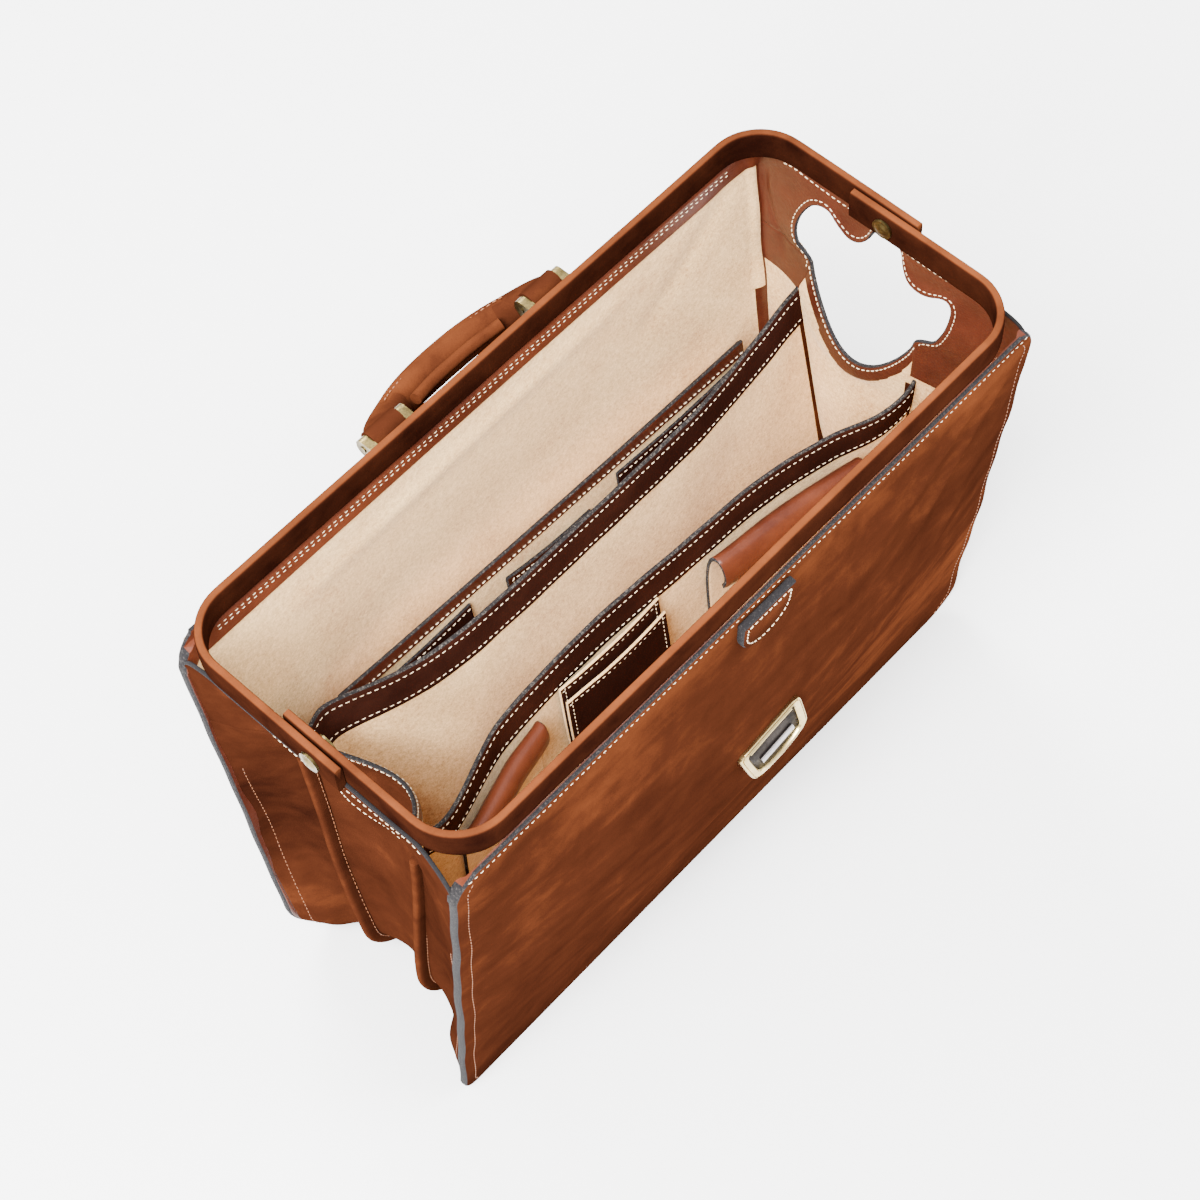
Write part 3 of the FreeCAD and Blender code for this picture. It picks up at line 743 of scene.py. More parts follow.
@dataclass(frozen=True)
class Metal:
    """Cast or plated metal with patina in its cloudy patches."""

    name: str
    worn: Point
    bright: Point
    rough: float
    patina: float

    def make(self) -> bpy.types.Material:
        """Builds the finish's nodes.

        Returns:
            The material.
        """
        g = Graph(self.name)
        cloud, speck = g.noise(90, 4, 0.6), g.noise(900, 3, 0.6)
        brush = g.noise(500, 2, 0.5, 0.0, g.stretched((1, 6, 6)))
        share = (cloud * 0.7 + speck * 0.3 + g.shade() * 0.3).step(0.5 - self.patina, 0.5 + self.patina)
        return g.finish(Base_Color=g.mix(share, self.worn, self.bright), Metallic=1.0,
                        Roughness=(self.rough + (1 - share) * 0.16 + (brush - 0.5) * 0.06),
                        Normal=g.bump(brush + speck * 0.5, 0.15, 0.0002))


class Finish(IntEnum):
    """What a face is made of. A piece has one material slot for each finish on it, in this order."""

    HIDE = 0
    RED_HIDE = 1
    DARK_HIDE = 2
    SUEDE = 3
    EDGE = 4
    DARK_EDGE = 5
    CREAM = 6
    RUST = 7
    BRASS = 8
    GOLD = 9
    NICKEL = 10
    PLATE = 11


RECIPES = {
    Finish.HIDE: Leather("chestnut_hide", (0.0085, 0.0022, 0.0013), (0.037, 0.0101, 0.0043),
                         (0.120, 0.0335, 0.0110)),
    Finish.RED_HIDE: Leather("russet_hide", (0.020, 0.0042, 0.0022), (0.062, 0.0135, 0.0062),
                             (0.165, 0.042, 0.0165), rough=0.33, shine=0.22),
    Finish.DARK_HIDE: Leather("umber_hide", (0.008, 0.0028, 0.0020), (0.020, 0.0062, 0.0040),
                              (0.050, 0.016, 0.0095), rough=0.46),
    Finish.SUEDE: Suede("natural_suede", (0.40, 0.185, 0.055), (0.90, 0.61, 0.285)),
    Finish.EDGE: CutEdge("grey_cut_edge", (0.010, 0.009, 0.010), (0.26, 0.23, 0.20), -0.12),
    Finish.DARK_EDGE: CutEdge("dark_cut_edge", (0.008, 0.007, 0.008), (0.09, 0.08, 0.075), -0.14),
    Finish.CREAM: Thread("cream_thread", (0.55, 0.38, 0.22), (0.90, 0.74, 0.52)),
    Finish.RUST: Thread("rust_thread", (0.10, 0.034, 0.013), (0.24, 0.088, 0.034)),
    Finish.BRASS: Metal("antique_brass", (0.045, 0.032, 0.012), (0.20, 0.15, 0.055), 0.3, 0.18),
    Finish.GOLD: Metal("pale_gold", (0.36, 0.26, 0.10), (0.66, 0.52, 0.25), 0.16, 0.3),
    Finish.NICKEL: Metal("nickel", (0.20, 0.18, 0.18), (0.50, 0.47, 0.47), 0.2, 0.3),
    # the lock's plate, coloured near black: painted shade for the recess inside the rim
    Finish.PLATE: Metal("browned_plate", (0.010, 0.008, 0.007), (0.034, 0.027, 0.023), 0.5, 0.2),
}
MATERIALS: dict[Finish, bpy.types.Material] = {}


def material(finish: Finish) -> bpy.types.Material:
    """The material of a finish, made the first time that it is asked for.

    Args:
        finish: the finish.
    Returns:
        Its material, the same one each time.
    """
    if finish not in MATERIALS:
        MATERIALS[finish] = RECIPES[finish].make()
    return MATERIALS[finish]


# ---- Making pieces ------------------------------------------------------------------------------

@dataclass(frozen=True)
class Motion:
    """How a piece moves: it rides a body, or stays baked in place when it names a second one.

    Args:
        body: the body that it rides, or the first of two.
        other: the second body; when given, the piece is baked in place and rides no body.
        start: not used.
        end: not used.
        squash: (axis, anchor in millimetres, keep); when given, the piece only gets its own copy of its
            mesh.
    """

    body: str
    other: str = ""
    start: Point = (0.0, 0.0, 0.0)
    end: Point = (0.0, 0.0, 0.0)
    squash: tuple = ()

    def give(self, piece: bpy.types.Object) -> None:
        """Gives a piece this motion.

        Args:
            piece: the piece.
        """
        if self.other:
            tuple(MM * v for v in self.start)
            tuple(MM * v for v in self.end)
            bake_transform(piece)
            return
        if self.squash:
            axis, anchor, keep = self.squash
            tuple(MM * v for v in anchor)
            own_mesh(piece)
        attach(piece, self.body)


def piece(name: str, shape: Shape, motion: Motion, main: Finish, stands_for: Sequence[str] = (),
          crisp: float = 50.0) -> bpy.types.Object:
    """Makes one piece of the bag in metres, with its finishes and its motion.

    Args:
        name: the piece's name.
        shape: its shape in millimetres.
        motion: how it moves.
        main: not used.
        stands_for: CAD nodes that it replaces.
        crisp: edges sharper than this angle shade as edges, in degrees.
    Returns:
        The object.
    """
    used = sorted({int(f) for _, finish in shape.faces for f in np.unique(finish)})
    place = {f: i for i, f in enumerate(used)}
    mesh = bpy.data.meshes.new(name)
    points = np.ascontiguousarray(shape.points * MM, np.float32)
    corners = np.concatenate([rows.ravel() for rows, _ in shape.faces])
    sizes = np.concatenate([np.full(len(rows), rows.shape[1]) for rows, _ in shape.faces])
    mesh.vertices.add(len(points))
    mesh.vertices.foreach_set("co", points.ravel())
    mesh.loops.add(len(corners))
    mesh.loops.foreach_set("vertex_index", corners.astype(np.int32))
    mesh.polygons.add(len(sizes))
    starts = np.concatenate([[0], np.cumsum(sizes)[:-1]])
    mesh.polygons.foreach_set("loop_start", starts.astype(np.int32))
    mesh.polygons.foreach_set("loop_total", sizes.astype(np.int32))
    numbers = np.concatenate([finish for _, finish in shape.faces])
    mesh.polygons.foreach_set("material_index", np.array([place[int(f)] for f in numbers], np.int32))
    mesh.update(calc_edges=True)
    mesh.validate()
    tone = mesh.attributes.new("shade", "FLOAT", "POINT")
    tone.data.foreach_set("value", shape.shade.astype(np.float32))
    for f in used:
        mesh.materials.append(material(Finish(f)))
    mesh.shade_smooth()
    mesh.set_sharp_from_angle(angle=math.radians(crisp))
    made = bpy.data.objects.new(name, mesh)
    bpy.context.scene.collection.objects.link(made)
    motion.give(made)
    if stands_for:
        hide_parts(*stands_for)
    log.info("%s: %d corners", name, len(shape.points))
    return made


def sew(name: str, rows: Sequence[Shape], motion: Motion, finish: Finish = Finish.CREAM) -> None:
    """Makes one piece of rows of stitches.

    Args:
        name: the piece's name.
        rows: the rows of stitches.
        motion: how they move.
        finish: the thread, the same in every row.
    """
    shape = joined(rows)
    faces = [(corners, np.full(len(corners), int(finish))) for corners, _ in shape.faces]
    piece(name, Shape(shape.points, faces, shape.shade), motion, finish)


class Side(IntEnum):
    """Which half of the bag a part is in, as the sign of its y."""

    FRONT = -1
    BACK = 1

    @property
    def word(self) -> str:
        """The half's name."""
        return self.name.lower()


# ---- Panels -------------------------------------------------------------------------------------

@dataclass(frozen=True)
class Lean:
    """The plane of a panel, which tips outwards as it rises.

    Args:
        side: which half of the bag it is in.
        foot: distance from the bag's middle at the hinge.
        hinge: height of the hinge that it folds about.
        top: distance from the bag's middle at its top.
        rise: height of its top above the hinge.
    """

    side: Side
    foot: float = 66.0
    hinge: float = 12.0
    top: float = 94.0
    rise: float = 297.0

    def depth(self, z: Array) -> Array:
        """Distance from the bag's middle to the plane at a height."""
        return self.foot + (self.top - self.foot) * (z - self.hinge) / self.rise

    @property
    def out(self) -> Array:
        """The direction out of the panel."""
        slope = (self.top - self.foot) / self.rise
        return np.array([0.0, self.side, -slope]) / math.hypot(1, slope)

    def at(self, x: Array, z: Array, out: Array = 0.0) -> Array:
        """Points on the plane.

        Args:
            x: place along it.
            z: height.
            out: how far they are pushed out of it.
        Returns:
            The points, in the bag's frame.
        """
        x, z, out = np.broadcast_arrays(np.asarray(x, float), z, out)
        flat = np.stack([x, self.side * self.depth(z), z], -1)
        return flat + self.out * out[..., None]

    def place(self, x: float, z: float, out: float) -> Matrix:
        """Stands a flat piece on the panel.

        Args:
            x: place along the panel.
            z: height.
            out: how far the piece's origin lies outside the plane.
        Returns:
            The matrix, which turns the piece's own -Y outwards.
        """
        up = np.array([0.0, self.side * (self.top - self.foot) / self.rise, 1.0])
        up /= np.linalg.norm(up)
        origin = self.at(x, z, out)
        columns = [np.cross(-self.out, up), -self.out, up, origin]
        return Matrix([[float(c[r]) for c in columns] for r in range(3)] + [[0, 0, 0, 1]])


@dataclass
class Panel:
    """One big face of the bag: hide outside, suede inside, a leather facing under the frame.

    Args:
        side: which half of the bag it is in.
        bulge: how far its middle stands out, in millimetres.
        left_corner: radius of its left bottom corner.
        right_corner: radius of its right bottom corner.
        creases: folds as rows for folds(), in x and height.
        half: half its length.
        top: height of its top edge.
        top_corner: radius of its top corners.
        facing_low: height of the leather facing's lower edge.
        thin_from: height above which it is thin, so that it clears the frame's bands when closed.
        sides_from: distance from the middle at which its rippled sides begin.
        hide: thickness of the hide outside the plane.
        lining: thickness of the suede inside it.
    """

    side: Side
    bulge: float
    left_corner: float
    right_corner: float
    creases: list
    half: float = 210.0
    top: float = 309.8
    top_corner: float = 20.0
    facing_low: float = 291.0
    thin_from: float = 303.6
    sides_from: float = 199.0
    hide: float = 2.3
    lining: float = 1.4
    lean: Lean = field(init=False)

    def __post_init__(self) -> None:
        """Works out the panel's plane."""
        self.lean = Lean(self.side)

    @property
    def motion(self) -> Motion:
        """Rides the panel's own body."""
        return Motion(f"{self.side.word}_panel")

    def sides(self, x: Array) -> Array:
        """0 over the middle of the panel and 1 along its two sides."""
        return smooth((np.abs(x) - self.sides_from) / 5)

    def swell(self, x: Array, z: Array) -> Array:
        """How far the panel stands out of its plane.

        The swell is a sine up the panel to the power 1.5, times a cosine along it to the power 0.85,
        plus a faint wave, a ripple of two sines along its sides and its folds.

        Args:
            x: place along the panel.
            z: height.
        Returns:
            The distance out of the plane, before the hide's thickness.
        """
        up = np.clip((z - self.lean.hinge) / self.lean.rise, 0, 1)
        across = np.cos(np.pi / 2 * np.clip(np.abs(x) / self.half, 0, 1))
        wave = 0.35 * np.sin(x / 37 + z / 51) * np.sin(np.pi * up)
        ripple = 0.8 * self.sides(x) * np.sin(z / 11.0) * np.sin(z / 29.0)
        return (self.bulge * np.sin(np.pi * up) ** 1.5 * across**0.85 + wave + ripple
                + folds(x, z, self.creases))

    def width(self, z: Array, right: bool) -> Array:
        """Half the panel's length at a height, less what its round corners take away.

        Args:
            z: height.
            right: whether the right half is meant, whose bottom corner has its own radius.
        Returns:
            The distance from the middle to the panel's side.
        """
        radius, upper = self.right_corner if right else self.left_corner, self.top_corner
        low = np.clip(radius - (z - 0.5), 0, radius)
        high = np.clip(z - (self.top - upper), 0, upper - 1.5)
        return (self.half - (radius - np.sqrt(np.maximum(radius**2 - low**2, 0)))
                - (upper - np.sqrt(upper**2 - high**2)))

    def surface(self, x: Array, z: Array, out: float = 0.0) -> Array:
        """Points on the panel's outer face, pushed out by a distance."""
        return self.lean.at(x, z, self.hide + self.swell(x, z) + out)

    def build(self) -> None:
        """Makes the panel and its seams."""
        z = np.concatenate([0.5 + 24 * np.linspace(0, 1, 14) ** 1.6, np.linspace(29, 284, 86),
                            [288.5, 290.4, 290.9, 291.3, 294, 300, 303.4, 303.8, 306, 308, self.top]])
        s = np.sin(np.linspace(-1, 1, 141) * np.pi / 2 * 0.94) / math.sin(np.pi / 2 * 0.94)
        zz, ss = np.meshgrid(z, s, indexing="ij")
        x = ss * np.where(ss > 0, self.width(zz, True), self.width(zz, False))
        facing = smooth((zz - 290.3) / 0.7)
        deep = self.swell(x, zz) * 0.92 - self.lining - facing - 1.6 * self.sides(x)
        inner = self.lean.at(x, zz, np.where(zz > self.thin_from, 0.15, deep))
        height, end = face_means(zz), face_means(np.abs(x))
        margin = (end > 206) | ((end > 200) & (height < 190))
        lining = np.where((height > self.facing_low) | margin, Finish.RED_HIDE, Finish.SUEDE)
        # lighter towards the top and darker towards the bottom
        worn = 0.25 * smooth((zz - 250) / 60) - 0.25 * smooth((60 - zz) / 60)
        finish = (Finish.HIDE, lining, Finish.DARK_EDGE)
        shape = sheet(self.surface(x, zz), inner, finish, worn, rim=0.2)
        nodes = [f"{self.side.word}_{part}" for part in ("panel", "lining", "facing", "welt")]
        piece(f"{self.side.word}_panel_hide", shape, self.motion, Finish.HIDE, nodes)
        self.seams()

    def seams(self) -> None:
        """The hem below the frame, the side seams and the facing's two rows."""
        x = np.linspace(-203, 203, 200)
        hem = stitches(self.surface(x, np.full(200, 306.3)), self.lean.out, 3.7, 2.3, 0.45)
        rows = [hem]
        for height in (301.6, 298.9):
            inside = self.lean.at(np.linspace(-186, 186, 200), height, -self.lining - 1.0)
            rows.append(stitches(inside, -self.lean.out, 3.9, length=2.2, wide=0.42))
        sew(f"{self.side.word}_panel_hem_thread", rows, self.motion)
        sides = []
        for right in (False, True):
            z = np.linspace(4, 302, 160)
            edge = (self.width(z, right) - 6.5) * (1 if right else -1)
            sides.append(stitches(self.surface(edge, z), self.lean.out, 3.6, wide=0.6, sink=0.05))
        sew(f"{self.side.word}_panel_side_thread", sides, self.motion, Finish.RUST)


# ---- Frame bands --------------------------------------------------------------------------------

@dataclass
class Band:
    """One half of the mouth: a steel bar wrapped in hide, bent round three sides.

    Args:
        side: which half of the bag it is in.
        half: the bag's middle to the outer face of an arm.
        thick: its thickness.
        tall: its height.
        low: height of its lower edge.
        reach: how far its arms pass the bag's middle.
        depth: the bag's middle to its outer face.
        corner: radius of its corners, outside.
    """

    side: Side
    half: float
    thick: float = 5.0
    tall: float = 19.6
    low: float = 308.9
    reach: float = 20.0
    depth: float = 94.0
    corner: float = 31.0

    def centre_line(self) -> Array:
        """The plan: straight arms and front joined by quarter circles, at half the band's thickness.

        Returns:
            Points at even steps, from the right arm's end round to the left one's.
        """
        inset = self.thick / 2
        x, y, radius = self.half - inset, self.depth - inset, self.corner - inset
        turn = np.linspace(0, np.pi / 2, 14)
        arm = np.stack([np.full(30, x), np.linspace(self.reach, -(y - radius), 30)], 1)
        bend = np.stack([x - radius + radius * np.cos(turn), -(y - radius) - radius * np.sin(turn)], 1)
        front = np.stack([np.linspace(x - radius, 0, 44), np.full(44, -y)], 1)
        half = np.concatenate([arm, bend[1:], front[1:]])
        plan = np.concatenate([half, half[-2::-1] * [-1, 1]])
        height = np.full(len(plan), self.low + self.tall / 2)
        return even(np.stack([plan[:, 0], plan[:, 1] * -self.side, height], 1), 3.0)

    def build(self) -> None:
        """Makes the band."""
        name = self.side.word
        line = self.centre_line()
        along = np.arange(len(line))
        line = line + np.stack([0.08 * np.sin(along / 9.0), 0.08 * np.sin(along / 7.0 + 1),
                                0.2 * np.sin(along / 11.0)], 1)
        loop = oval(self.thick, self.tall, 36, 4.5)
        # painted highlight: the band's top edge is painted lighter, partly burnished leather and partly
        # painted highlight; the faces below are darker
        shade = np.broadcast_to(1.3 * smooth((loop[:, 1] - 8.4) / 1.2) - 0.7, (len(line), len(loop)))
        shape = swept(line, (0, 0, 1), loop, finish=Finish.HIDE, shade=shade)
        piece(f"{name}_frame_band", shape, Motion(f"{name}_frame"), Finish.HIDE,
              [f"{name}_band", f"{name}_frame_bar"])


# ---- Ends and dividers --------------------------------------------------------------------------

def belly(right: float, left: float, depth: float, low: float, radius: float, steps: int = 5) -> Array:
    """The lower part of a U in the XZ plane: a quarter circle, a flat run and another quarter circle.

    Args:
        right: x of its right side.
        left: x of its left side.
        depth: y of all of it.
        low: height of the flat run.
        radius: radius of its corners.
        steps: points on each quarter circle.
    Returns:
        Its points, from the right side down and up the left one.
    """
    turn = np.linspace(0, np.pi / 2, steps)
    z = low + radius - radius * np.sin(turn)
    down = np.stack([right - radius + radius * np.cos(turn), z], 1)
    up = np.stack([left + radius - radius * np.cos(turn), z], 1)[::-1]
    flat = np.stack([np.linspace(right - radius, left + radius, 7)[1:-1], np.full(5, low)], 1)
    return upright(np.concatenate([down, flat, up]), depth)


def strip_normals(points: Array) -> Array:
    """Unit normals of a strip that starts at the right end, by the cross product of its directions.

    Args:
        points: rows x columns x 3.
    Returns:
        The normals, which point out of the bag at the right end.
    """
    made = unit(np.cross(np.gradient(points, axis=0), np.gradient(points, axis=1)))
    return -made if made[20, 5, 0] < 0 else made


# Each end's free edge and crease from the rivet down, as (y, height, lean), and beside it the point of
# the frame or panel that it is sewn to, as (y, height). lean is how far the left end leans in there.
FRONT_END = [
    (-4.0, 308.6, 0.0, -4.5, 309.9), (-8.5, 306.5, 0.3, -9.5, 309.9),
    (-12.2, 300.0, 1.0, -13.5, 309.9), (-14.0, 290.0, 2.5, -16.5, 309.9),
    (-18.0, 281.5, 4.0, -20.5, 309.9), (-25.0, 279.0, 5.0, -27.5, 309.9),
    (-32.0, 281.0, 5.5, -36.0, 309.9), (-40.0, 286.0, 5.5, -50.0, 309.9),
    (-45.0, 286.0, 5.5, -68.0, 309.9), (-47.3, 280.0, 7.0, -88.5, 300.0),
    (-46.0, 267.0, 9.0, -90.6, 284.0), (-43.0, 256.0, 12.0, -89.3, 268.0),
    (-38.5, 247.0, 16.0, -88.0, 252.0), (-27.5, 238.0, 22.0, -86.6, 238.0),
    (-27.0, 222.0, 25.0, -85.0, 222.0), (-26.5, 205.0, 26.0, -83.4, 206.0),
    (-25.0, 160.0, 24.0, -79.2, 160.0), (-22.5, 110.0, 20.0, -74.4, 110.0),
]
BACK_END = [
    (3.5, 308.6, 0.0, 4.0, 309.9), (5.5, 305.5, 0.3, 6.5, 309.9), (8.5, 298.0, 1.0, 10.0, 309.9),
    (11.0, 292.0, 2.0, 13.5, 309.9), (16.0, 286.0, 3.5, 18.0, 309.9),
    (23.0, 284.0, 4.5, 25.0, 309.9), (31.5, 289.0, 5.0, 34.0, 309.9),
    (37.0, 294.0, 5.0, 44.0, 309.9), (43.0, 294.0, 5.5, 56.0, 309.9),
    (49.5, 289.0, 6.0, 72.0, 309.9), (56.0, 276.0, 8.0, 88.5, 300.0),
    (58.5, 262.5, 11.0, 90.2, 280.0), (56.0, 252.0, 14.0, 89.0, 262.0),
    (51.0, 249.0, 17.0, 88.0, 251.0), (46.0, 244.0, 20.0, 87.0, 244.0),
    (48.0, 232.0, 23.0, 86.0, 231.0), (53.5, 212.0, 26.0, 84.0, 212.0),
    (46.5, 160.0, 24.0, 79.2, 160.0), (37.5, 110.0, 20.0, 74.4, 110.0),
]


@dataclass
class EndSheet:
    """A gusset: one strip of hide that runs from the right end's cut-out, down the end, along the
    floor between a panel and a divider, and up the left end.

    Args:
        side: which half of the bag it is in.
        crease_x: distance from the middle to the crease at the divider.
        seam_x: distance from the middle to the seam at the panel.
        thick: its thickness.
        columns: how many columns of points it has across.
    """

    side: Side
    crease_x: float = 203.5
    seam_x: float = 208.3
    thick: float = 2.2
    columns: int = 26

    @property
    def in_front(self) -> bool:
        """Whether this is the front strip."""
        return self.side is Side.FRONT

    def control(self) -> Array:
        """The strip's two edges, down the right end, along the floor and up the left end.

        Returns:
            A point on the crease and one on the panel in each row of six numbers.
        """
        rows = np.array(FRONT_END if self.in_front else BACK_END, float)
        high = smooth((rows[:, 1] - 240) / 60)
        arm = 2.8 if self.in_front else 6.6
        sewn = np.where(rows[:, 4] > 309, self.seam_x - 5.2 + arm - 0.8, self.seam_x)
        right = np.stack([self.crease_x + 2.2 * high, rows[:, 0], rows[:, 1],
                          sewn, rows[:, 3], rows[:, 4]], 1)
        left = right * [-1, 1, 1, -1, 1, 1]
        left[:, 0] += rows[:, 2]
        foot = Lean(self.side)
        y_crease, y_seam = self.side * 21.5, self.side * (foot.depth(20.0) - 3.4)
        deep = belly(self.crease_x - 0.5, -187.0, y_crease, 11.0, 45.0)
        wide = belly(self.seam_x - 0.6, 1.0 - self.seam_x, y_seam, 3.5, 18.0 if self.in_front else 38.0)
        return np.concatenate([right, np.concatenate([deep, wide], 1), left[::-1]])

    def middle(self) -> tuple[Array, Array]:
        """The strip's middle surface and its outward normals.

        Each row runs straight from the crease to the panel, then sinks in by a sine across it: more
        low down, where the leather folds, and a little outwards under the frame.

        Returns:
            Points and normals, rows x columns x 3.
        """
        line = curve(self.control(), 420)
        b = np.linspace(0, 1, self.columns)[None, :, None]
        flat = line[:, None, :3] * (1 - b) + line[:, None, 3:] * b
        normal = strip_normals(flat)
        z = flat[..., 2]
        low = smooth((200 - z) / 80)
        floor = smooth((z - 14) / 40)
        share = np.broadcast_to(b[..., 0], z.shape)
        arch = np.sin(np.pi * share)
        sink = low * floor * (5.5 * arch + 2.2 * np.sin(2 * np.pi * share) * np.cos(z / 60))
        bulge = (1 - low) * 1.6 * arch * smooth((309 - z) / 25)
        sag = 2.0 * (1 - floor) * arch * np.sin(flat[..., 0] / 60)
        away = np.where(flat[..., 0] > 0, 1.0, 1.35)
        puckers = folds(z, share * 60, [(300, 55, 225, 30, 5, 1.0), (306, 40, 250, 58, 4, 0.8),
                                        (90, 10, 10, 30, 7, -2.4), (120, 45, 15, 38, 8, 2.0)])
        return flat + normal * (bulge + puckers - sink * away + sag)[..., None], normal

    def motion(self) -> Motion:
        """Names the base and the panel as its two bodies; the piece is baked in place."""
        if self.in_front:
            return Motion("base", "front_panel", start=(0, -27.0, 100.0), end=(0, -76.0, 95.4))
        return Motion("base", "back_panel", start=(0, -27.0, 5.2), end=(0, 44.1, -8.4))

    def wing_motion(self) -> Motion:
        """Rides the panel."""
        lean = Lean(self.side)
        axis = tuple(float(v) for v in lean.out)
        anchor = (0.0, self.side * lean.foot, lean.hinge)
        return Motion(f"{self.side.word}_panel", squash=(axis, anchor, 0.1))

    def build(self) -> None:
        """Makes the strip, its wings above the crease and the stitches along the cut-outs and seams."""
        points, normal = self.middle()
        name = self.side.word
        top = 180.0 if self.in_front else 246.0
        split = int(np.argmax(points[:, 0, 2] < top))
        last = len(points) - 1 - int(np.argmax(points[::-1, 0, 2] < top))
        parts = [("gusset", slice(split, last + 1), self.motion(),
                  [f"{name}_gusset_left", f"{name}_gusset_right", f"{name}_floor"]),
                 ("wing_right_hide", slice(0, split + 1), self.wing_motion(), [f"{name}_wing_right"]),
                 ("wing_left_hide", slice(last, None), self.wing_motion(), [f"{name}_wing_left"])]
        suede_top = 206.0 if self.in_front else 212.5
        for part_name, rows, motion, nodes in parts:
            part, push = points[rows], normal[rows] * self.thick / 2
            z = part[..., 2]
            lining = np.where(face_means(z) > suede_top, Finish.RED_HIDE, Finish.SUEDE)
            tone = 0.2 * np.sin(z / 33.0) - 0.25
            shape = sheet(part + push, part - push, (Finish.HIDE, lining, Finish.DARK_EDGE), tone)
            piece(f"{name}_{part_name}", shape, motion, Finish.HIDE, nodes)
        self.seams(points, normal)

    def across(self, points: Array, rows: Array, share: Array) -> Array:
        """The line at a share of the way across the strip, by straight lines between its columns.

        Args:
            points: the strip's grid.
            rows: the rows that the line crosses.
            share: share of the way from the crease to the panel, one per row.
        Returns:
            One point per row.
        """
        at = share * (self.columns - 1)
        k = np.minimum(at.astype(int), self.columns - 2)
        part = (at - k)[:, None]
        return points[rows, k] * (1 - part) + points[rows, k + 1] * part

    def seams(self, points: Array, normal: Array) -> None:
        """Cream rows inside and out along the cut-outs and below the frame, and rust rows down the ends.

        Args:
            points: the strip's middle surface.
            normal: its outward normals.
        """
        gap = np.linalg.norm(points[:, -1] - points[:, 0], axis=1)
        rows = []
        for inset, from_crease in ((2.8, True), (6.0, False)):
            share = np.clip(inset / gap, 0, 0.45)
            line = self.across(points, np.arange(len(points)), share if from_crease else 1 - share)
            for end in (1, -1):
                open_edge = (points[:, 0, 2] > 236) & (gap > 6)
                if not from_crease:
                    open_edge = (points[:, -1, 2] > 308) & (gap > 14)
                chosen = np.flatnonzero(open_edge & (points[:, 0, 0] * end > 0))
                for face in (1, -1):
                    seam = line[chosen] + normal[chosen, 0] * face * self.thick / 2
                    rows.append(stitches(seam, normal[chosen, 0] * face, 3.6, wide=0.62))
        sew(f"{self.side.word}_wing_thread", rows, self.wing_motion())
        ends = []
        share = 1 - 7.5 / np.maximum(gap, 20)
        for end in (1, -1):
            chosen = np.flatnonzero((points[:, 0, 0] * end > 0) & (points[:, 0, 2] < 200)
                                    & (points[:, 0, 2] > 14))
            out = normal[chosen, 0]
            seam = self.across(points, chosen, share[chosen]) + out * self.thick / 2
            ends.append(stitches(seam, out, 3.6, wide=0.55))
        sew(f"{self.side.word}_gusset_side_thread", ends, self.motion(), Finish.RUST)


def crease(side: Side, count: int = 300) -> Array:
    """The line that a divider's sides and bottom are sewn along.

    Args:
        side: which of the two strips it belongs to.
        count: how many steps it has.
    Returns:
        Its points, from the top of the right end down and up the left end.
    """
    control = EndSheet(side).control()
    line = curve(control, 420)[:, :3]
    top = control[13 if side is Side.FRONT else 14, 2]
    keep = np.flatnonzero(line[:, 2] <= top + 0.5)
    return even(line[keep[0]:keep[-1] + 1], travelled(line[keep])[-1] / count)


@dataclass
class MiddleSheet:
    """The gusset between the two dividers, whose top edges dip, and lean into the bag on the left.

    Args:
        thick: its thickness.
        trim: width of its leather trim inside.
        dip: how far the middle of a top edge lies below its ends.
        right_lean: how far the right top edge leans in.
        left_lean: how far the left one does.
    """

    thick: float = 2.2
    trim: float = 15.0
    dip: float = 46.0
    right_lean: float = 7.0
    left_lean: float = 27.0

    def motion(self) -> Motion:
        """Names the base and the rear divider as its two bodies; the piece is baked in place."""
        return Motion("base", "rear_divider", start=(0, -22.0, 100.0), end=(0, 42.0, 96.0))

    def build(self) -> None:
        """Makes the sheet, with its leather trim inside and its two rows of stitches."""
        lines = [crease(side) for side in Side]
        t = np.linspace(0, 1, min(map(len, lines)))
        front, rear = (read_off(t, np.linspace(0, 1, len(line)), line) for line in lines)
        v = np.linspace(0, 1, 32)[None, :, None]
        flat = front[:, None] * (1 - v) + rear[:, None] * v
        normal = strip_normals(flat)
        share = np.broadcast_to(v[..., 0], flat.shape[:2])
        z = flat[..., 2].copy()
        arch, off_floor = np.sin(np.pi * share), smooth((z - 14) / 30)
        flat[..., 2] -= self.dip * arch**0.75 * smooth((z - 165) / 74)
        most = np.where(flat[..., 0] < 0, self.left_lean, self.right_lean)
        lean = most * arch * smooth((z - 120) / 115)
        low = smooth((190 - z) / 60) * off_floor
        sink = lean + low * 5.0 * arch
        sag = 1.5 * (1 - off_floor) * arch * np.cos(flat[..., 0] / 70)
        points = flat - normal * (sink - sag)[..., None]
        normal = strip_normals(points)
        outer, inner = points + normal * self.thick / 2, points - normal * self.thick / 2
        steps = np.linalg.norm(np.diff(points, axis=0), axis=-1)
        down = np.concatenate([np.zeros((1, v.size)), np.cumsum(steps, 0)])
        from_top = np.minimum(down, down[-1] - down)
        lining = np.where(face_means(from_top) < self.trim, Finish.RED_HIDE, Finish.SUEDE)
        shape = sheet(outer, inner, (Finish.HIDE, lining, Finish.EDGE), -0.1, rim=0.5)
        piece("middle_gusset", shape, self.motion(), Finish.HIDE,
              ["middle_gusset_left", "middle_gusset_right", "middle_floor"])
        rows = []
        for end, further in ((0, 4), (-1, -5)):
            inwards = unit(points[further] - points[end])
            for face in (1, -1):
                seam = points[end] + inwards * 3.0 + normal[end] * face * (self.thick / 2)
                rows.append(stitches(seam, normal[end] * face, 3.4))
        sew("middle_gusset_thread", rows, self.motion())


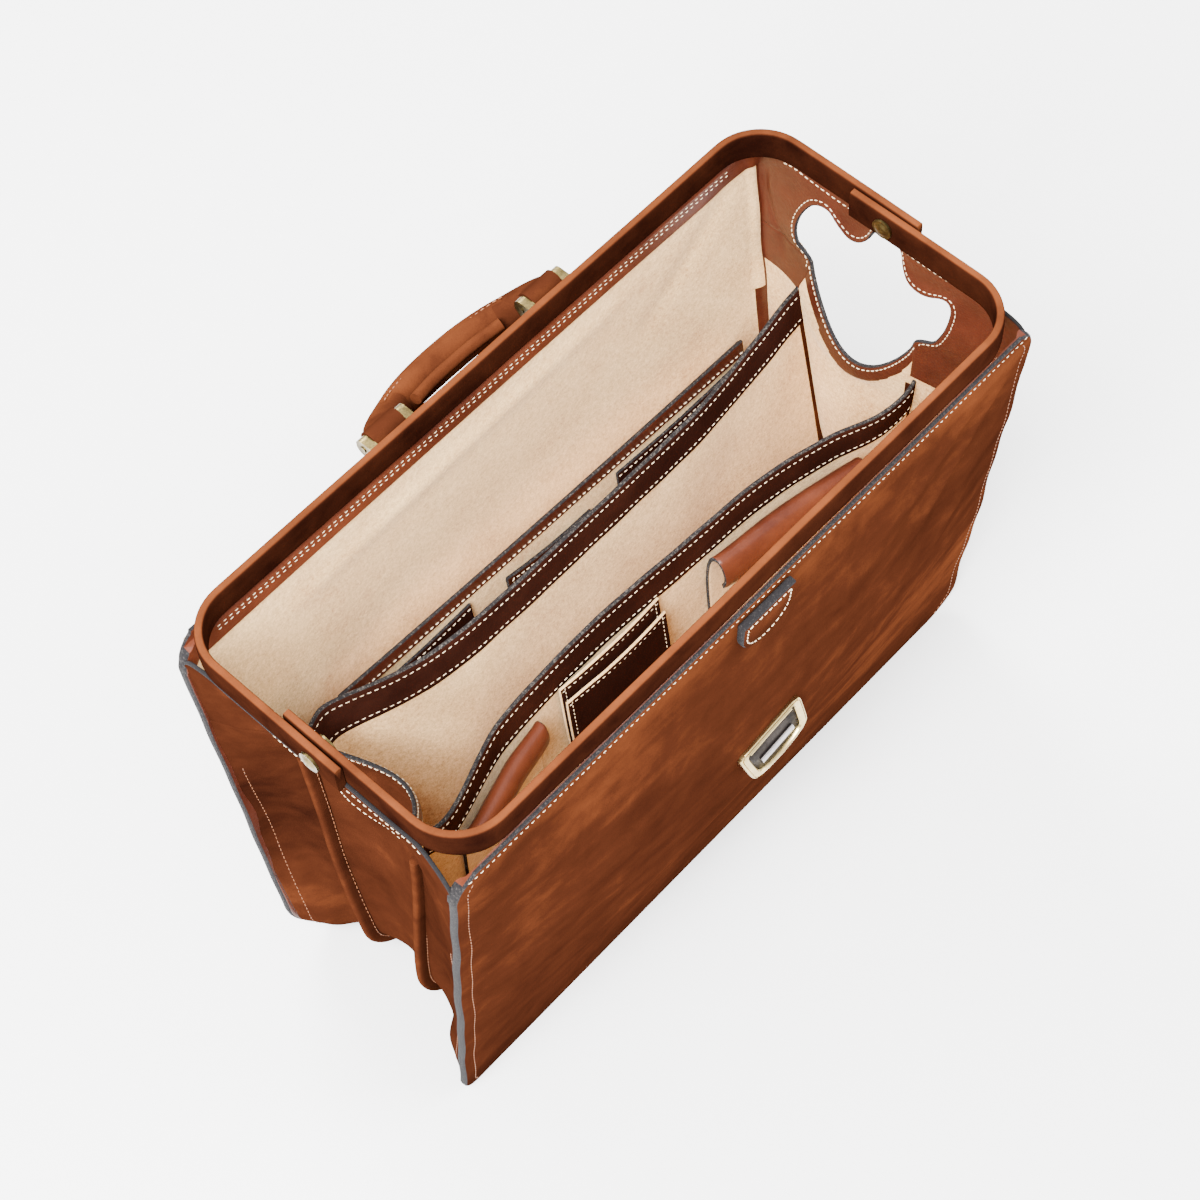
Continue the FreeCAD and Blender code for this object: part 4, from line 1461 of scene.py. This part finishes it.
@dataclass
class Divider:
    """An upright wall between two compartments, in suede, with a dark trim along its top.

    Args:
        side: which of the two walls it is.
        top_line: (x, y) of its top edge.
        high: height of its top edge.
        foot: y of its bottom edge.
        waves: folds as rows for folds(), in x and height.
        trim: height of the trim.
        thick: its thickness.
    """

    side: Side
    top_line: list
    high: float
    foot: float
    waves: list
    trim: float = 24.0
    thick: float = 1.4

    @property
    def name(self) -> str:
        """front or rear."""
        return "front" if self.side is Side.FRONT else "rear"

    def motion(self) -> Motion:
        """Rides the base, or the rear divider's own body."""
        top = np.interp(0, [p[0] for p in self.top_line], [p[1] for p in self.top_line])
        hinge = Lean(self.side).hinge
        lean = math.atan2(top - self.foot, self.high - hinge)
        axis = (0.0, math.cos(lean), -math.sin(lean))
        body = "base" if self.side is Side.FRONT else "rear_divider"
        return Motion(body, squash=(axis, (0.0, self.foot, hinge), 0.25))

    def reach(self, z: Array) -> tuple[Array, Array]:
        """The wall's two ends, which curve in at its bottom corners.

        Args:
            z: height.
        Returns:
            x of the left end and of the right one.
        """
        line = crease(self.side)
        peak = int(np.argmin(np.abs(line[:, 0])))
        right, left = line[:peak], line[peak:]
        order = np.argsort(left[:, 2])
        low = np.maximum(z, 12.0)
        x_right = np.interp(low, right[::-1, 2], right[::-1, 0])
        x_left = np.interp(low, left[order, 2], left[order, 0])
        return x_left, x_right

    def wall(self, x: Array, z: Array) -> Array:
        """The wall's place: from its foot to its top line by the height to the power 1.15, with waves.

        Args:
            x: place along the wall.
            z: height.
        Returns:
            y of the wall's middle.
        """
        up = np.clip((z - 10) / (self.high - 10), 0, 1.2)
        line = curve([(p[0], p[1], 0) for p in self.top_line], 200)
        top = np.interp(x, line[:, 0], line[:, 1])
        return self.foot + (top - self.foot) * up**1.15 + folds(x, z, self.waves)

    def surface(self, x: Array, z: Array, out: float = 0.0) -> Array:
        """Points on the wall, pushed towards the back by a distance."""
        return np.stack([x, self.wall(x, z) + out, z], -1)

    def grid(self, low: float, high: float, rows: int) -> tuple[Array, Array]:
        """A grid over the wall between two heights.

        Args:
            low: the lower height.
            high: the upper height.
            rows: how many rows of points.
        Returns:
            x and height of the points, from the top down.
        """
        z = np.linspace(high, low, rows)
        left, right = self.reach(z)
        s = np.linspace(0, 1, 150)
        x = left[:, None] * (1 - s) + right[:, None] * s
        return x, np.broadcast_to(z[:, None], x.shape)

    def build(self) -> None:
        """Makes the wall, its trim, its sewn rim and their stitches."""
        x, z = self.grid(11.0, self.high - 1.0, 90)
        half = self.thick / 2
        faces = np.full((x.shape[0] - 1, x.shape[1] - 1), int(Finish.SUEDE))
        faces[:, :2] = faces[:, -2:] = Finish.HIDE
        wall = sheet(self.surface(x, z, half), self.surface(x, z, -half), (faces, faces, Finish.HIDE))
        piece(f"{self.name}_divider_wall", wall, self.motion(), Finish.SUEDE, [f"{self.name}_divider"])
        x, z = self.grid(self.high - self.trim, self.high + 0.4, 12)
        wavy = 0.35 * np.sin(x / 7.0) * np.sin(x / 23.0)
        half += 0.5
        rows, columns = x.shape
        rim = np.concatenate([np.full(columns - 1, Finish.EDGE),
                              np.full(2 * rows + columns - 3, Finish.DARK_HIDE)])
        trim = sheet(self.surface(x, z + wavy, half), self.surface(x, z + wavy, -half),
                     (Finish.DARK_HIDE, Finish.DARK_HIDE, np.tile(rim, 4)), 0.1, rim=0.25)
        piece(f"{self.name}_divider_trim_hide", trim, self.motion(), Finish.DARK_HIDE,
              [f"{self.name}_divider_trim"])
        seams = []
        left, right = self.reach(np.array([self.high - 10]))
        run = np.linspace(left[0] + 3, right[0] - 3, 260)
        for drop in (3.6, self.trim - 3.2):
            level = np.full(260, self.high - drop)
            for face in (-1, 1):
                seam = self.surface(run, level, face * half)
                seams.append(stitches(seam, (0, face, 0), 4.0, 2.8, 0.62))
        sew(f"{self.name}_divider_thread", seams, self.motion())
        self.rim()

    def rim(self) -> None:
        """The sewn flanges that stand out round the wall's sides and bottom, turned and stitched."""
        line = crease(self.side)
        line = line[(line[:, 2] < self.high - 4)]
        along = tangents(line)
        out = unit(np.cross(along, [0, 1, 0]))
        if out[5, 0] < 0:
            out = -out
        centre = line + out * 2.6
        loop = oval(5.4, 9.6, 18, 2.8)
        # the crest that stands out is lighter and its sides darker: partly rubbed edge, partly painted
        # highlight
        tone = np.broadcast_to(0.5 * smooth((loop[:, 1] - 2) / 3) - 0.3, (len(line), len(loop)))
        shape = swept(centre, out, loop, finish=Finish.HIDE, shade=tone)
        nodes = ["rear_divider_seam"] if self.side is Side.BACK else []
        piece(f"{self.name}_divider_flange", shape, self.motion(), Finish.HIDE, nodes)
        rows = [stitches(centre - out * 1.4 + np.array([0, face * 2.75, 0]), (0, face, 0), 3.6,
                         wide=0.55) for face in (-1, 1)]
        sew(f"{self.name}_divider_flange_thread", rows, self.motion(), Finish.RUST)


# ---- Pockets ------------------------------------------------------------------------------------

def leaf(middle: Array, normal: Array, thick: float, finish: tuple, shade: Union[float, Array] = 0.0,
         rim: float = 0.3) -> Shape:
    """A sheet of one thickness about a grid of middle points.

    Args:
        middle: grid of points, rows x columns x 3.
        normal: one normal or one per point, towards the first finish.
        thick: thickness.
        finish: outer, inner and rim finish.
        shade: lighter or darker.
        rim: how far the rim stands out.
    Returns:
        The sheet.
    """
    push = np.broadcast_to(np.asarray(normal, float), middle.shape) * thick / 2
    return sheet(middle + push, middle - push, finish, shade, rim)


@dataclass
class Flap:
    """A pocket on the front divider whose top is rolled over towards the front.

    Args:
        name: the piece's name.
        left: x of its left side.
        right: x of its right side.
        section: (distance from the wall, height) up the pocket and over the roll.
        node: CAD node that it replaces.
        tilt: how much higher its right side stands than its left.
    """

    name: str
    left: float
    right: float
    section: list
    node: str
    tilt: float = 0.0

    def build(self, wall: Divider) -> None:
        """Makes the flap from its section, which opens more towards its middle.

        Args:
            wall: the wall that it is sewn to.
        """
        line = curve(self.section, 60)
        x = np.linspace(self.left, self.right, 50)
        share = np.linspace(0, 1, 50)
        dist = line[:, :1] * (0.75 + 0.25 * np.sin(np.pi * share) ** 0.6)[None, :]
        high = line[:, 1:2] + self.tilt * (share[None, :] - 0.5) + 1.2 * np.sin(np.pi * share)[None, :]
        xx = np.broadcast_to(x, dist.shape)
        y = wall.wall(xx, np.minimum(high, wall.high)) - dist
        middle = np.stack([xx, y, high], -1)
        normal = unit(np.cross(np.gradient(middle, axis=1), np.gradient(middle, axis=0)))
        shape = leaf(middle, normal, 2.4, (Finish.SUEDE, Finish.RED_HIDE, Finish.EDGE), 0.15)
        piece(self.name, shape, wall.motion(), Finish.RED_HIDE, [self.node])


@dataclass
class Pockets:
    """Everything sewn to the front divider's front face."""

    wall: Divider

    def build(self) -> None:
        """Makes the two rolled flaps and the card sleeve between them."""
        roll = [(2.6, 76), (3.0, 130), (4.5, 160), (8.0, 178), (13.0, 186.5), (19.0, 187.0),
                (23.0, 181.0), (23.5, 173.0), (20.0, 166.0)]
        small = [(2.6, 76), (3.0, 130), (4.0, 160), (6.0, 176), (10.0, 183.5), (14.5, 184.0),
                 (17.0, 179.0), (16.5, 172.0)]
        Flap("flap_right", 52.0, 154.0, roll, "flap_pocket_right", -4.0).build(self.wall)
        Flap("flap_left", -150.0, -80.0, small, "flap_pocket_left", 2.0).build(self.wall)
        self.sleeve()

    def sleeve(self) -> None:
        """The dark card sleeve: two leaves, each with a cream row along its top."""
        layers, rows = [], []
        for depth, top in ((4.0, 185.0), (8.0, 176.0)):
            x, z = np.meshgrid(np.linspace(-59, 16, 40), np.linspace(82, top, 24))
            bow = 2.5 * np.sin(np.pi * (x + 59) / 75) * smooth((z - 90) / 80)
            y = self.wall.wall(x, z) - depth - bow
            layers.append(leaf(np.stack([x, y, z], -1), (0, -1, 0), 1.6,
                               (Finish.DARK_HIDE, Finish.DARK_HIDE, Finish.SUEDE)))
            seam = np.stack([x[-1], y[-1] - 0.8, z[-1] - 3], -1)
            rows.append(stitches(seam, (0, -1, 0), 3.8, wide=0.7))
            for end, inset in ((0, 3.0), (-1, -3.0)):
                seam = np.stack([x[:, end] + inset, y[:, end] - 0.9, z[:, end]], -1)
                rows.append(stitches(seam, (0, -1, 0), 3.8, wide=0.6))
        piece("card_sleeve_leaves", joined(layers), self.wall.motion(), Finish.DARK_HIDE,
              ["card_sleeve"])
        sew("card_sleeve_thread", rows, self.wall.motion())


@dataclass
class Organizer:
    """The pockets inside the back panel: a suede front, a russet trim, card pockets and a blank patch.

    Args:
        lean: the back panel's plane.
        inward: offset of the suede front from that plane.
    """

    lean: Lean = field(default_factory=lambda: Lean(Side.BACK))
    inward: float = -8.0

    def leaf(self, left: float, right: float, low: Union[float, tuple], tops: tuple, out: float,
             finish: tuple, thick: float = 2.0) -> tuple[Shape, Array]:
        """A sheet on the panel between two x, whose top runs from one height to another.

        Args:
            left: x of its left side.
            right: x of its right side.
            low: height of its bottom, or at the left and at the right.
            tops: height of its top at the left and at the right.
            out: offset from the panel's plane.
            finish: towards the bag's middle, towards the panel, and rim.
            thick: thickness.
        Returns:
            The sheet and its grid of middle points.
        """
        x = np.linspace(left, right, 60)[None, :]
        top = np.interp(x, [left, right], tops)
        share = np.linspace(0, 1, 24)[:, None]
        base = np.interp(x, [left, right], np.broadcast_to(low, 2))
        z = base + (top - base) * share
        sag = 1.2 * np.sin(np.pi * (x - left) / (right - left)) * share
        middle = self.lean.at(np.broadcast_to(x, z.shape), z, out - sag)
        return leaf(middle, -self.lean.out, thick, finish), middle

    def build(self) -> None:
        """Makes the pocket, its trim, the card pockets and the patch."""
        ride, thread = Motion("back_panel"), []
        front, _ = self.leaf(-139, 175, 42, (186, 174), self.inward,
                             (Finish.SUEDE, Finish.SUEDE, Finish.EDGE))
        piece("organizer_front", front, ride, Finish.SUEDE, ["organizer_panel"])
        trim, grid = self.leaf(-139.5, 175.5, (177, 164.5), (188, 175.5), self.inward - 1.4,
                               (Finish.RED_HIDE, Finish.RED_HIDE, Finish.EDGE), 2.2)
        piece("organizer_trim_hide", trim, ride, Finish.RED_HIDE, ["organizer_trim"])
        thread.append(stitches(grid[6] - self.lean.out * 1.2, -self.lean.out, 3.9))
        cards = []
        for left, right, top, out in ((-134, -48, 172, 3.4), (-134, -48, 160, 5.2),
                                      (68, 172, 165, 3.4), (68, 172, 152, 5.2)):
            card, grid = self.leaf(left, right, 104, (top, top - 2), self.inward - out,
                                   (Finish.DARK_HIDE, Finish.DARK_HIDE, Finish.EDGE), 1.6)
            cards.append(card)
            thread.append(stitches(grid[-2] - self.lean.out * 0.9, -self.lean.out, 3.9, wide=0.65))
        piece("card_pockets", joined(cards), ride, Finish.DARK_HIDE,
              ["card_pocket_left", "card_pocket_right"])
        patch, grid = self.leaf(-21, 44, 131, (164, 157), self.inward - 4.2,
                                (Finish.HIDE, Finish.HIDE, Finish.EDGE), 2.2)
        piece("patch_blank", patch, ride, Finish.HIDE, ["blank_patch"])
        ring = np.concatenate([grid[2, 3:-3], grid[2:-2, -4], grid[-3, -4:2:-1], grid[-3:1:-1, 3]])
        thread.append(stitches(ring - self.lean.out * 1.2, -self.lean.out, 3.6, closed=True))
        sew("organizer_thread", thread, ride)


# ---- Tab, lock and handle -----------------------------------------------------------------------

@dataclass
class Tab:
    """The half-round leather tab that hangs below the frame's middle.

    Args:
        half: half its width, and its radius.
        top: height of its top.
        low: height of its lowest point.
        thick: its thickness.
    """

    half: float = 18.8
    top: float = 303.0
    low: float = 271.3
    thick: float = 4.6

    def outline(self, inset: float = 0.0) -> Array:
        """The tab's outline about its own top.

        Args:
            inset: how far inside the edge it lies.
        Returns:
            (x, z) of its points: a half circle, with a corner at each end of the top.
        """
        radius = self.half - inset
        turn = np.linspace(0, -np.pi, 30)
        drop = self.top - self.low - self.half
        arc = np.stack([radius * np.cos(turn), -drop + radius * np.sin(turn)], 1)
        return np.concatenate([[[radius, -inset]], arc, [[-radius, -inset]]])

    def build(self) -> None:
        """Makes the tab and its stitches."""
        place, ride = Lean(Side.FRONT).place(0.0, self.top, 3.0), Motion("front_panel")
        shape = plate(self.outline(), self.thick, 0.7, (Finish.HIDE, Finish.DARK_EDGE))
        piece("frame_tab", moved(shape, place), ride, Finish.HIDE, ["front_tab"])
        loop = even(upright(self.outline(3.2), -self.thick), 1.0, closed=True)
        sew("frame_tab_thread", [moved(stitches(loop, (0, -1, 0), 3.4, closed=True), place)], ride)


LOCK_PLACE = (Matrix.Translation((3.0, -102.3, 162.0)) @ Matrix.Rotation(math.radians(-10.7), 4, "Y")
              @ Matrix.Rotation(math.radians(-10.0), 4, "X"))


@dataclass
class Lock:
    """The turn lock: a pale gold rim round a near-black plate, painted shade in its recess, and a nickel
    latch bar.
    """

    place: Matrix = field(default_factory=lambda: LOCK_PLACE)

    def outline(self, half: float, high: float, low: float, bow: float) -> Array:
        """A trapezoid with round corners and a bowed lower side, as a closed loop of (x, z).

        Args:
            half: half its width at the top.
            high: height of its top.
            low: depth of its bottom.
            bow: how much lower the middle of the bottom lies.
        Returns:
            96 points round it.
        """
        loop = oval(2.0, 2.0, 96, 9.0)
        x, z = loop[:, 0], loop[:, 1]
        taper = 1 - 0.10 * (1 - z) / 2
        drop = -bow * (1 - x**2) * np.clip(-z, 0, 1) ** 2
        return np.stack([x * half * taper, np.where(z > 0, z * high, z * low) + drop], 1)

    def build(self) -> None:
        """Makes the rim, the plate with its bead, and the latch."""
        ride = Motion("front_panel")
        outer, inner = self.outline(24.2, 14.4, 12.6, 3.4), self.outline(18.6, 12.2, 9.6, 3.0)
        levels = [(0.0, 0.4), (0.0, -1.6), (0.05, -2.4), (0.16, -2.7), (0.20, -2.1), (0.26, -2.1),
                  (0.31, -3.0), (0.6, -3.4), (0.86, -3.0), (1.0, -2.0), (1.0, 0.4)]
        piece("lock_rim", moved(ring_plate(outer, inner, levels, Finish.GOLD), self.place), ride,
              Finish.GOLD, ["lock_bezel"], crisp=35)
        # the plate is coloured near black, painted shade inside the rim
        back = plate(self.outline(19.2, 12.6, 10.0, 3.0), 1.2, 0.2, (Finish.PLATE, Finish.PLATE))
        piece("lock_back", moved(back, self.place), ride, Finish.PLATE, ["lock_plate"])
        x = np.linspace(-16.5, 16.5, 40)
        bead = swept(np.stack([x, np.full(40, -1.7), 9.6 + 0.3 * np.cos(x / 9)], 1), (0, 0, 1),
                     oval(1.5, 1.5, 10), finish=Finish.GOLD)
        piece("lock_bead", moved(bead, self.place), ride, Finish.GOLD)
        bar = swept(np.stack([x * 0.76, np.full(40, -2.0), np.full(40, -4.2)], 1), (0, 0, 1),
                    oval(1.8, 4.4, 16, 4.0), finish=Finish.NICKEL)
        piece("lock_latch_bar", moved(bar, self.place), Motion("lock_latch"), Finish.NICKEL,
              ["lock_latch"])


@dataclass
class Handle:
    """The padded carrying handle, hanging open behind the back frame.

    Its points are (x, distance from the pins, height off the handle's own plane).

    Args:
        pin_y: y of the two pins.
        pin_z: their height.
        droop: how far its plane hangs below the level, in degrees.
    """

    pin_y: float = 103.5
    pin_z: float = 314.5
    droop: float = 45.0

    def at(self, line: Array) -> Array:
        """Points of the handle's plane in the bag's frame, turned about the pins by the droop.

        Args:
            line: the points in the handle's own plane.
        Returns:
            The points in the bag's frame.
        """
        c, s = math.cos(math.radians(self.droop)), math.sin(math.radians(self.droop))
        return np.stack([line[:, 0], self.pin_y + line[:, 1] * c - line[:, 2] * s,
                         self.pin_z - line[:, 1] * s - line[:, 2] * c], 1)

    def swell(self, line: Array, across: Array, thick: Array, power: float, shade: float,
              finish: Finish) -> Shape:
        """A tube along a line in the handle's plane, with a size per point.

        Args:
            line: points (x, distance, height off the plane).
            across: size in the plane, per point.
            thick: size off the plane, per point.
            power: how square its section is.
            shade: lighter or darker along its lit side.
            finish: its finish.
        Returns:
            The tube.
        """
        path = self.at(line)
        loop = oval(1.0, 1.0, 28, power)
        profile = loop[None] * np.stack([across, thick], 1)[:, None]
        # painted shade: the side of the section that faces down is painted darker
        tone = np.broadcast_to(shade - 0.3 * loop[:, 1], (len(path), 28))
        return swept(path, self.off_plane(1.0), profile, finish=finish, shade=tone)

    def off_plane(self, way: float) -> Array:
        """The direction off the handle's plane, for 1, or the other way, for -1."""
        return (self.at(np.array([[0, 0, way]])) - self.at(np.zeros((1, 3))))[0]

    def build(self) -> None:
        """Makes the grip, the lip bar, the ends and their stitches."""
        ride = Motion("handle")
        rim = np.array([(-43, 15.0, 0), (-34, 21.0, 0), (-18, 26.6, 0), (0, 28.2, 0), (18, 26.6, 0),
                        (34, 21.0, 0), (43, 15.0, 0)])
        line = curve(rim, 70)
        share = np.linspace(-1, 1, 70)
        size = 20.5 - 3.4 * np.abs(share) ** 2.2
        shape = self.swell(line, size, size * 0.95, 2.2, 0.15, Finish.HIDE)
        grip = piece("handle_grip_padded", shape, ride, Finish.HIDE, ["handle_grip"])
        lip = curve([(-31, 6.4, 0), (-16, 11.4, 0), (0, 13.0, 0), (16, 11.4, 0), (31, 6.4, 0)], 50)
        shape = self.swell(lip, np.full(50, 6.6), np.full(50, 6.2), 2.4, 0.3, Finish.HIDE)
        piece("handle_lip_bar", shape, ride, Finish.HIDE, ["handle_lip"])
        for end, name in ((-1, "left"), (1, "right")):
            strap = curve([(57.0 * end, 0.0, 0), (54.5 * end, 6.0, 0), (48.0 * end, 12.0, 0),
                           (38.0 * end, 18.6, 0)], 26)
            t = np.linspace(0, 1, 26)
            body = self.swell(strap, 20.5 - 2.5 * t, 13.0 + 3.0 * t, 3.0, 0.0, Finish.HIDE)
            barrel_x = np.linspace(46.4, 66.6, 16) * end
            barrel = swept(np.stack([barrel_x, np.full(16, self.pin_y), np.full(16, self.pin_z)], 1),
                           (0, 0, 1), oval(13.6, 13.6, 28), finish=Finish.HIDE)
            piece(f"handle_{name}_end", joined([body, barrel]), ride, Finish.HIDE,
                  [f"handle_end_{name}"])
        seam = curve(rim + [0, -3.0, 0], 90)
        seam[:, 2] = -(size.max() * 0.95 / 2 - 1.2)
        sew("handle_thread", [stitches(self.at(seam), self.off_plane(-1.0), 3.6, wide=0.7)], ride,
            Finish.RUST)


# ---- Metal fittings kept from the CAD -----------------------------------------------------------

FITTINGS = {
    Finish.BRASS: ("frame_rivets_outer", "frame_rivets_inner", "handle_bracket_left",
                   "handle_bracket_right", "handle_pin_left", "handle_pin_right", "handle_rivets"),
    Finish.NICKEL: ("lock_posts",),
}


def dress_fittings() -> None:
    """Gives the CAD's metal fittings their finishes."""
    for finish, nodes in FITTINGS.items():
        for node in nodes:
            materials = bpy.data.objects[node].data.materials
            materials.clear()
            materials.append(material(finish))
            log.info("%s dressed", node)


# ---- Studio -------------------------------------------------------------------------------------

@dataclass
class Studio:
    """White floor, soft lights and the camera.

    Args:
        eye: the camera's place in millimetres.
        azimuth: the camera's direction round the bag, in degrees.
        elevation: its height angle.
        roll: its turn about its own axis.
        lens: focal length on a 36 mm sensor, in millimetres.
    """

    eye: Point = (-501.4, -516.8, 1427.4)
    azimuth: float = -43.15
    elevation: float = 59.71
    roll: float = -4.57
    lens: float = 81.2

    def axes(self) -> tuple[Array, Array, Array]:
        """The camera's directions, from its azimuth, elevation and roll.

        Returns:
            Right, up and backwards.
        """
        a, e, r = (math.radians(v) for v in (self.azimuth, self.elevation, self.roll))
        back = np.array([math.sin(a) * math.cos(e), -math.cos(a) * math.cos(e), math.sin(e)])
        across = unit(np.cross([0, 0, 1.0], back))
        up = np.cross(back, across)
        return (math.cos(r) * across + math.sin(r) * up, -math.sin(r) * across + math.cos(r) * up, back)

    def camera(self) -> None:
        """Sets the camera."""
        data = bpy.data.cameras.new("camera")
        data.lens, data.sensor_width = self.lens, 36.0
        made = bpy.data.objects.new("camera", data)
        right, up, back = self.axes()
        rows = [[float(right[k]), float(up[k]), float(back[k]), self.eye[k] * MM] for k in range(3)]
        made.matrix_world = Matrix(rows + [[0, 0, 0, 1]])
        bpy.context.scene.collection.objects.link(made)
        bpy.context.scene.camera = made

    def light(self, name: str, place: Point, size: float, power: float) -> None:
        """Adds one large soft light that faces the bag.

        Args:
            name: its name.
            place: where it stands, in metres.
            size: length of its side, in metres.
            power: its power, in watts.
        """
        data = bpy.data.lights.new(name, "AREA")
        data.shape, data.size, data.energy = "SQUARE", size, power
        made = bpy.data.objects.new(name, data)
        made.location = place
        made.rotation_euler = (Vector((0, 0, 0.2)) - Vector(place)).to_track_quat("-Z", "Y").to_euler()
        bpy.context.scene.collection.objects.link(made)

    def floor(self) -> None:
        """Lays the pale floor under the bag."""
        mesh = bpy.data.meshes.new("floor")
        mesh.from_pydata([(-6, -6, 0), (6, -6, 0), (6, 6, 0), (-6, 6, 0)], [], [(0, 1, 2, 3)])
        made = bpy.data.objects.new("floor", mesh)
        bpy.context.scene.collection.objects.link(made)
        g = Graph("studio_floor")
        speck = g.noise(40, 2)
        mesh.materials.append(g.finish(Base_Color=g.mix(speck, (0.93, 0.93, 0.93), (0.95, 0.95, 0.95)),
                                       Roughness=0.8))

    def build(self) -> None:
        """Sets the whole studio up."""
        world = bpy.data.worlds.new("studio")
        world.use_nodes = True
        colour, strength = world.node_tree.nodes["Background"].inputs[:2]
        colour.default_value, strength.default_value = (1, 1, 1, 1), 2.1
        bpy.context.scene.world = world
        self.floor()
        self.light("key", (-1.1, -0.4, 1.9), 1.0, 240)
        self.light("fill", (1.3, -1.2, 1.5), 1.4, 50)
        self.light("rim", (0.5, 1.6, 1.5), 1.0, 80)
        self.camera()


# Folds of the panels as (start x, start height, end x, end height, width, height out).
FRONT_CREASES = [
    (205, 300, 120, 215, 7, 2.6), (208, 285, 110, 185, 8, -2.0), (190, 302, 95, 245, 6, 1.8),
    (205, 262, 130, 150, 9, 1.6), (-205, 298, -130, 220, 10, 1.8), (-180, 302, -100, 250, 9, -1.2),
    (-150, 60, 60, 150, 22, 1.8), (-40, 40, 160, 110, 20, -1.6), (-190, 120, -60, 230, 18, 1.4),
    (30, 200, 150, 290, 16, 1.3), (-100, 270, 60, 255, 12, -0.9),
]
BACK_CREASES = [
    (-150, 262, 120, 272, 8, -2.2), (-190, 90, -60, 200, 20, 1.4), (60, 70, 190, 180, 20, -1.4),
    (200, 300, 110, 220, 9, 1.8),
]
# Each divider's top edge as (x, y), and its waves as the folds above.
REAR_TOP = [
    (-206, 52), (-190, 54), (-172, 59), (-159, 63), (-147, 60), (-116, 48), (-86, 42), (-50, 40),
    (26, 40), (107, 41.5), (165, 49), (191, 53), (209, 55),
]
FRONT_TOP = [
    (-206, -22), (-172, -21), (-161, -24), (-148, -22), (-120, -12), (-100, -6), (-51, -2.5),
    (-19, -2), (54, -6), (99, -9), (144, -19), (173, -30), (192, -32), (208, -28.5),
]
FRONT_WAVES = [(-120, 40, -40, 180, 22, 2.0), (40, 30, 120, 150, 24, -2.0)]
REAR_WAVES = [(-140, 40, -60, 190, 22, -2.2), (60, 40, 150, 190, 24, 2.0)]


def main() -> None:
    """Builds every sub-assembly in order, then the studio."""
    logging.basicConfig(level=logging.INFO, format="%(name)s %(message)s")
    front = Divider(Side.FRONT, FRONT_TOP, 204.0, -20.0, FRONT_WAVES)
    rear = Divider(Side.BACK, REAR_TOP, 214.0, 20.0, REAR_WAVES)
    for part in (Panel(Side.FRONT, 17.0, 10.0, 22.0, FRONT_CREASES),
                 Panel(Side.BACK, 17.0, 44.0, 30.0, BACK_CREASES),
                 Band(Side.FRONT, 204.6), Band(Side.BACK, 210.0),
                 EndSheet(Side.FRONT), EndSheet(Side.BACK), MiddleSheet(), front, rear,
                 Pockets(front), Organizer(), Tab(), Lock(), Handle()):
        part.build()
    dress_fittings()
    Studio().build()


if __name__ == "__main__":
    main()
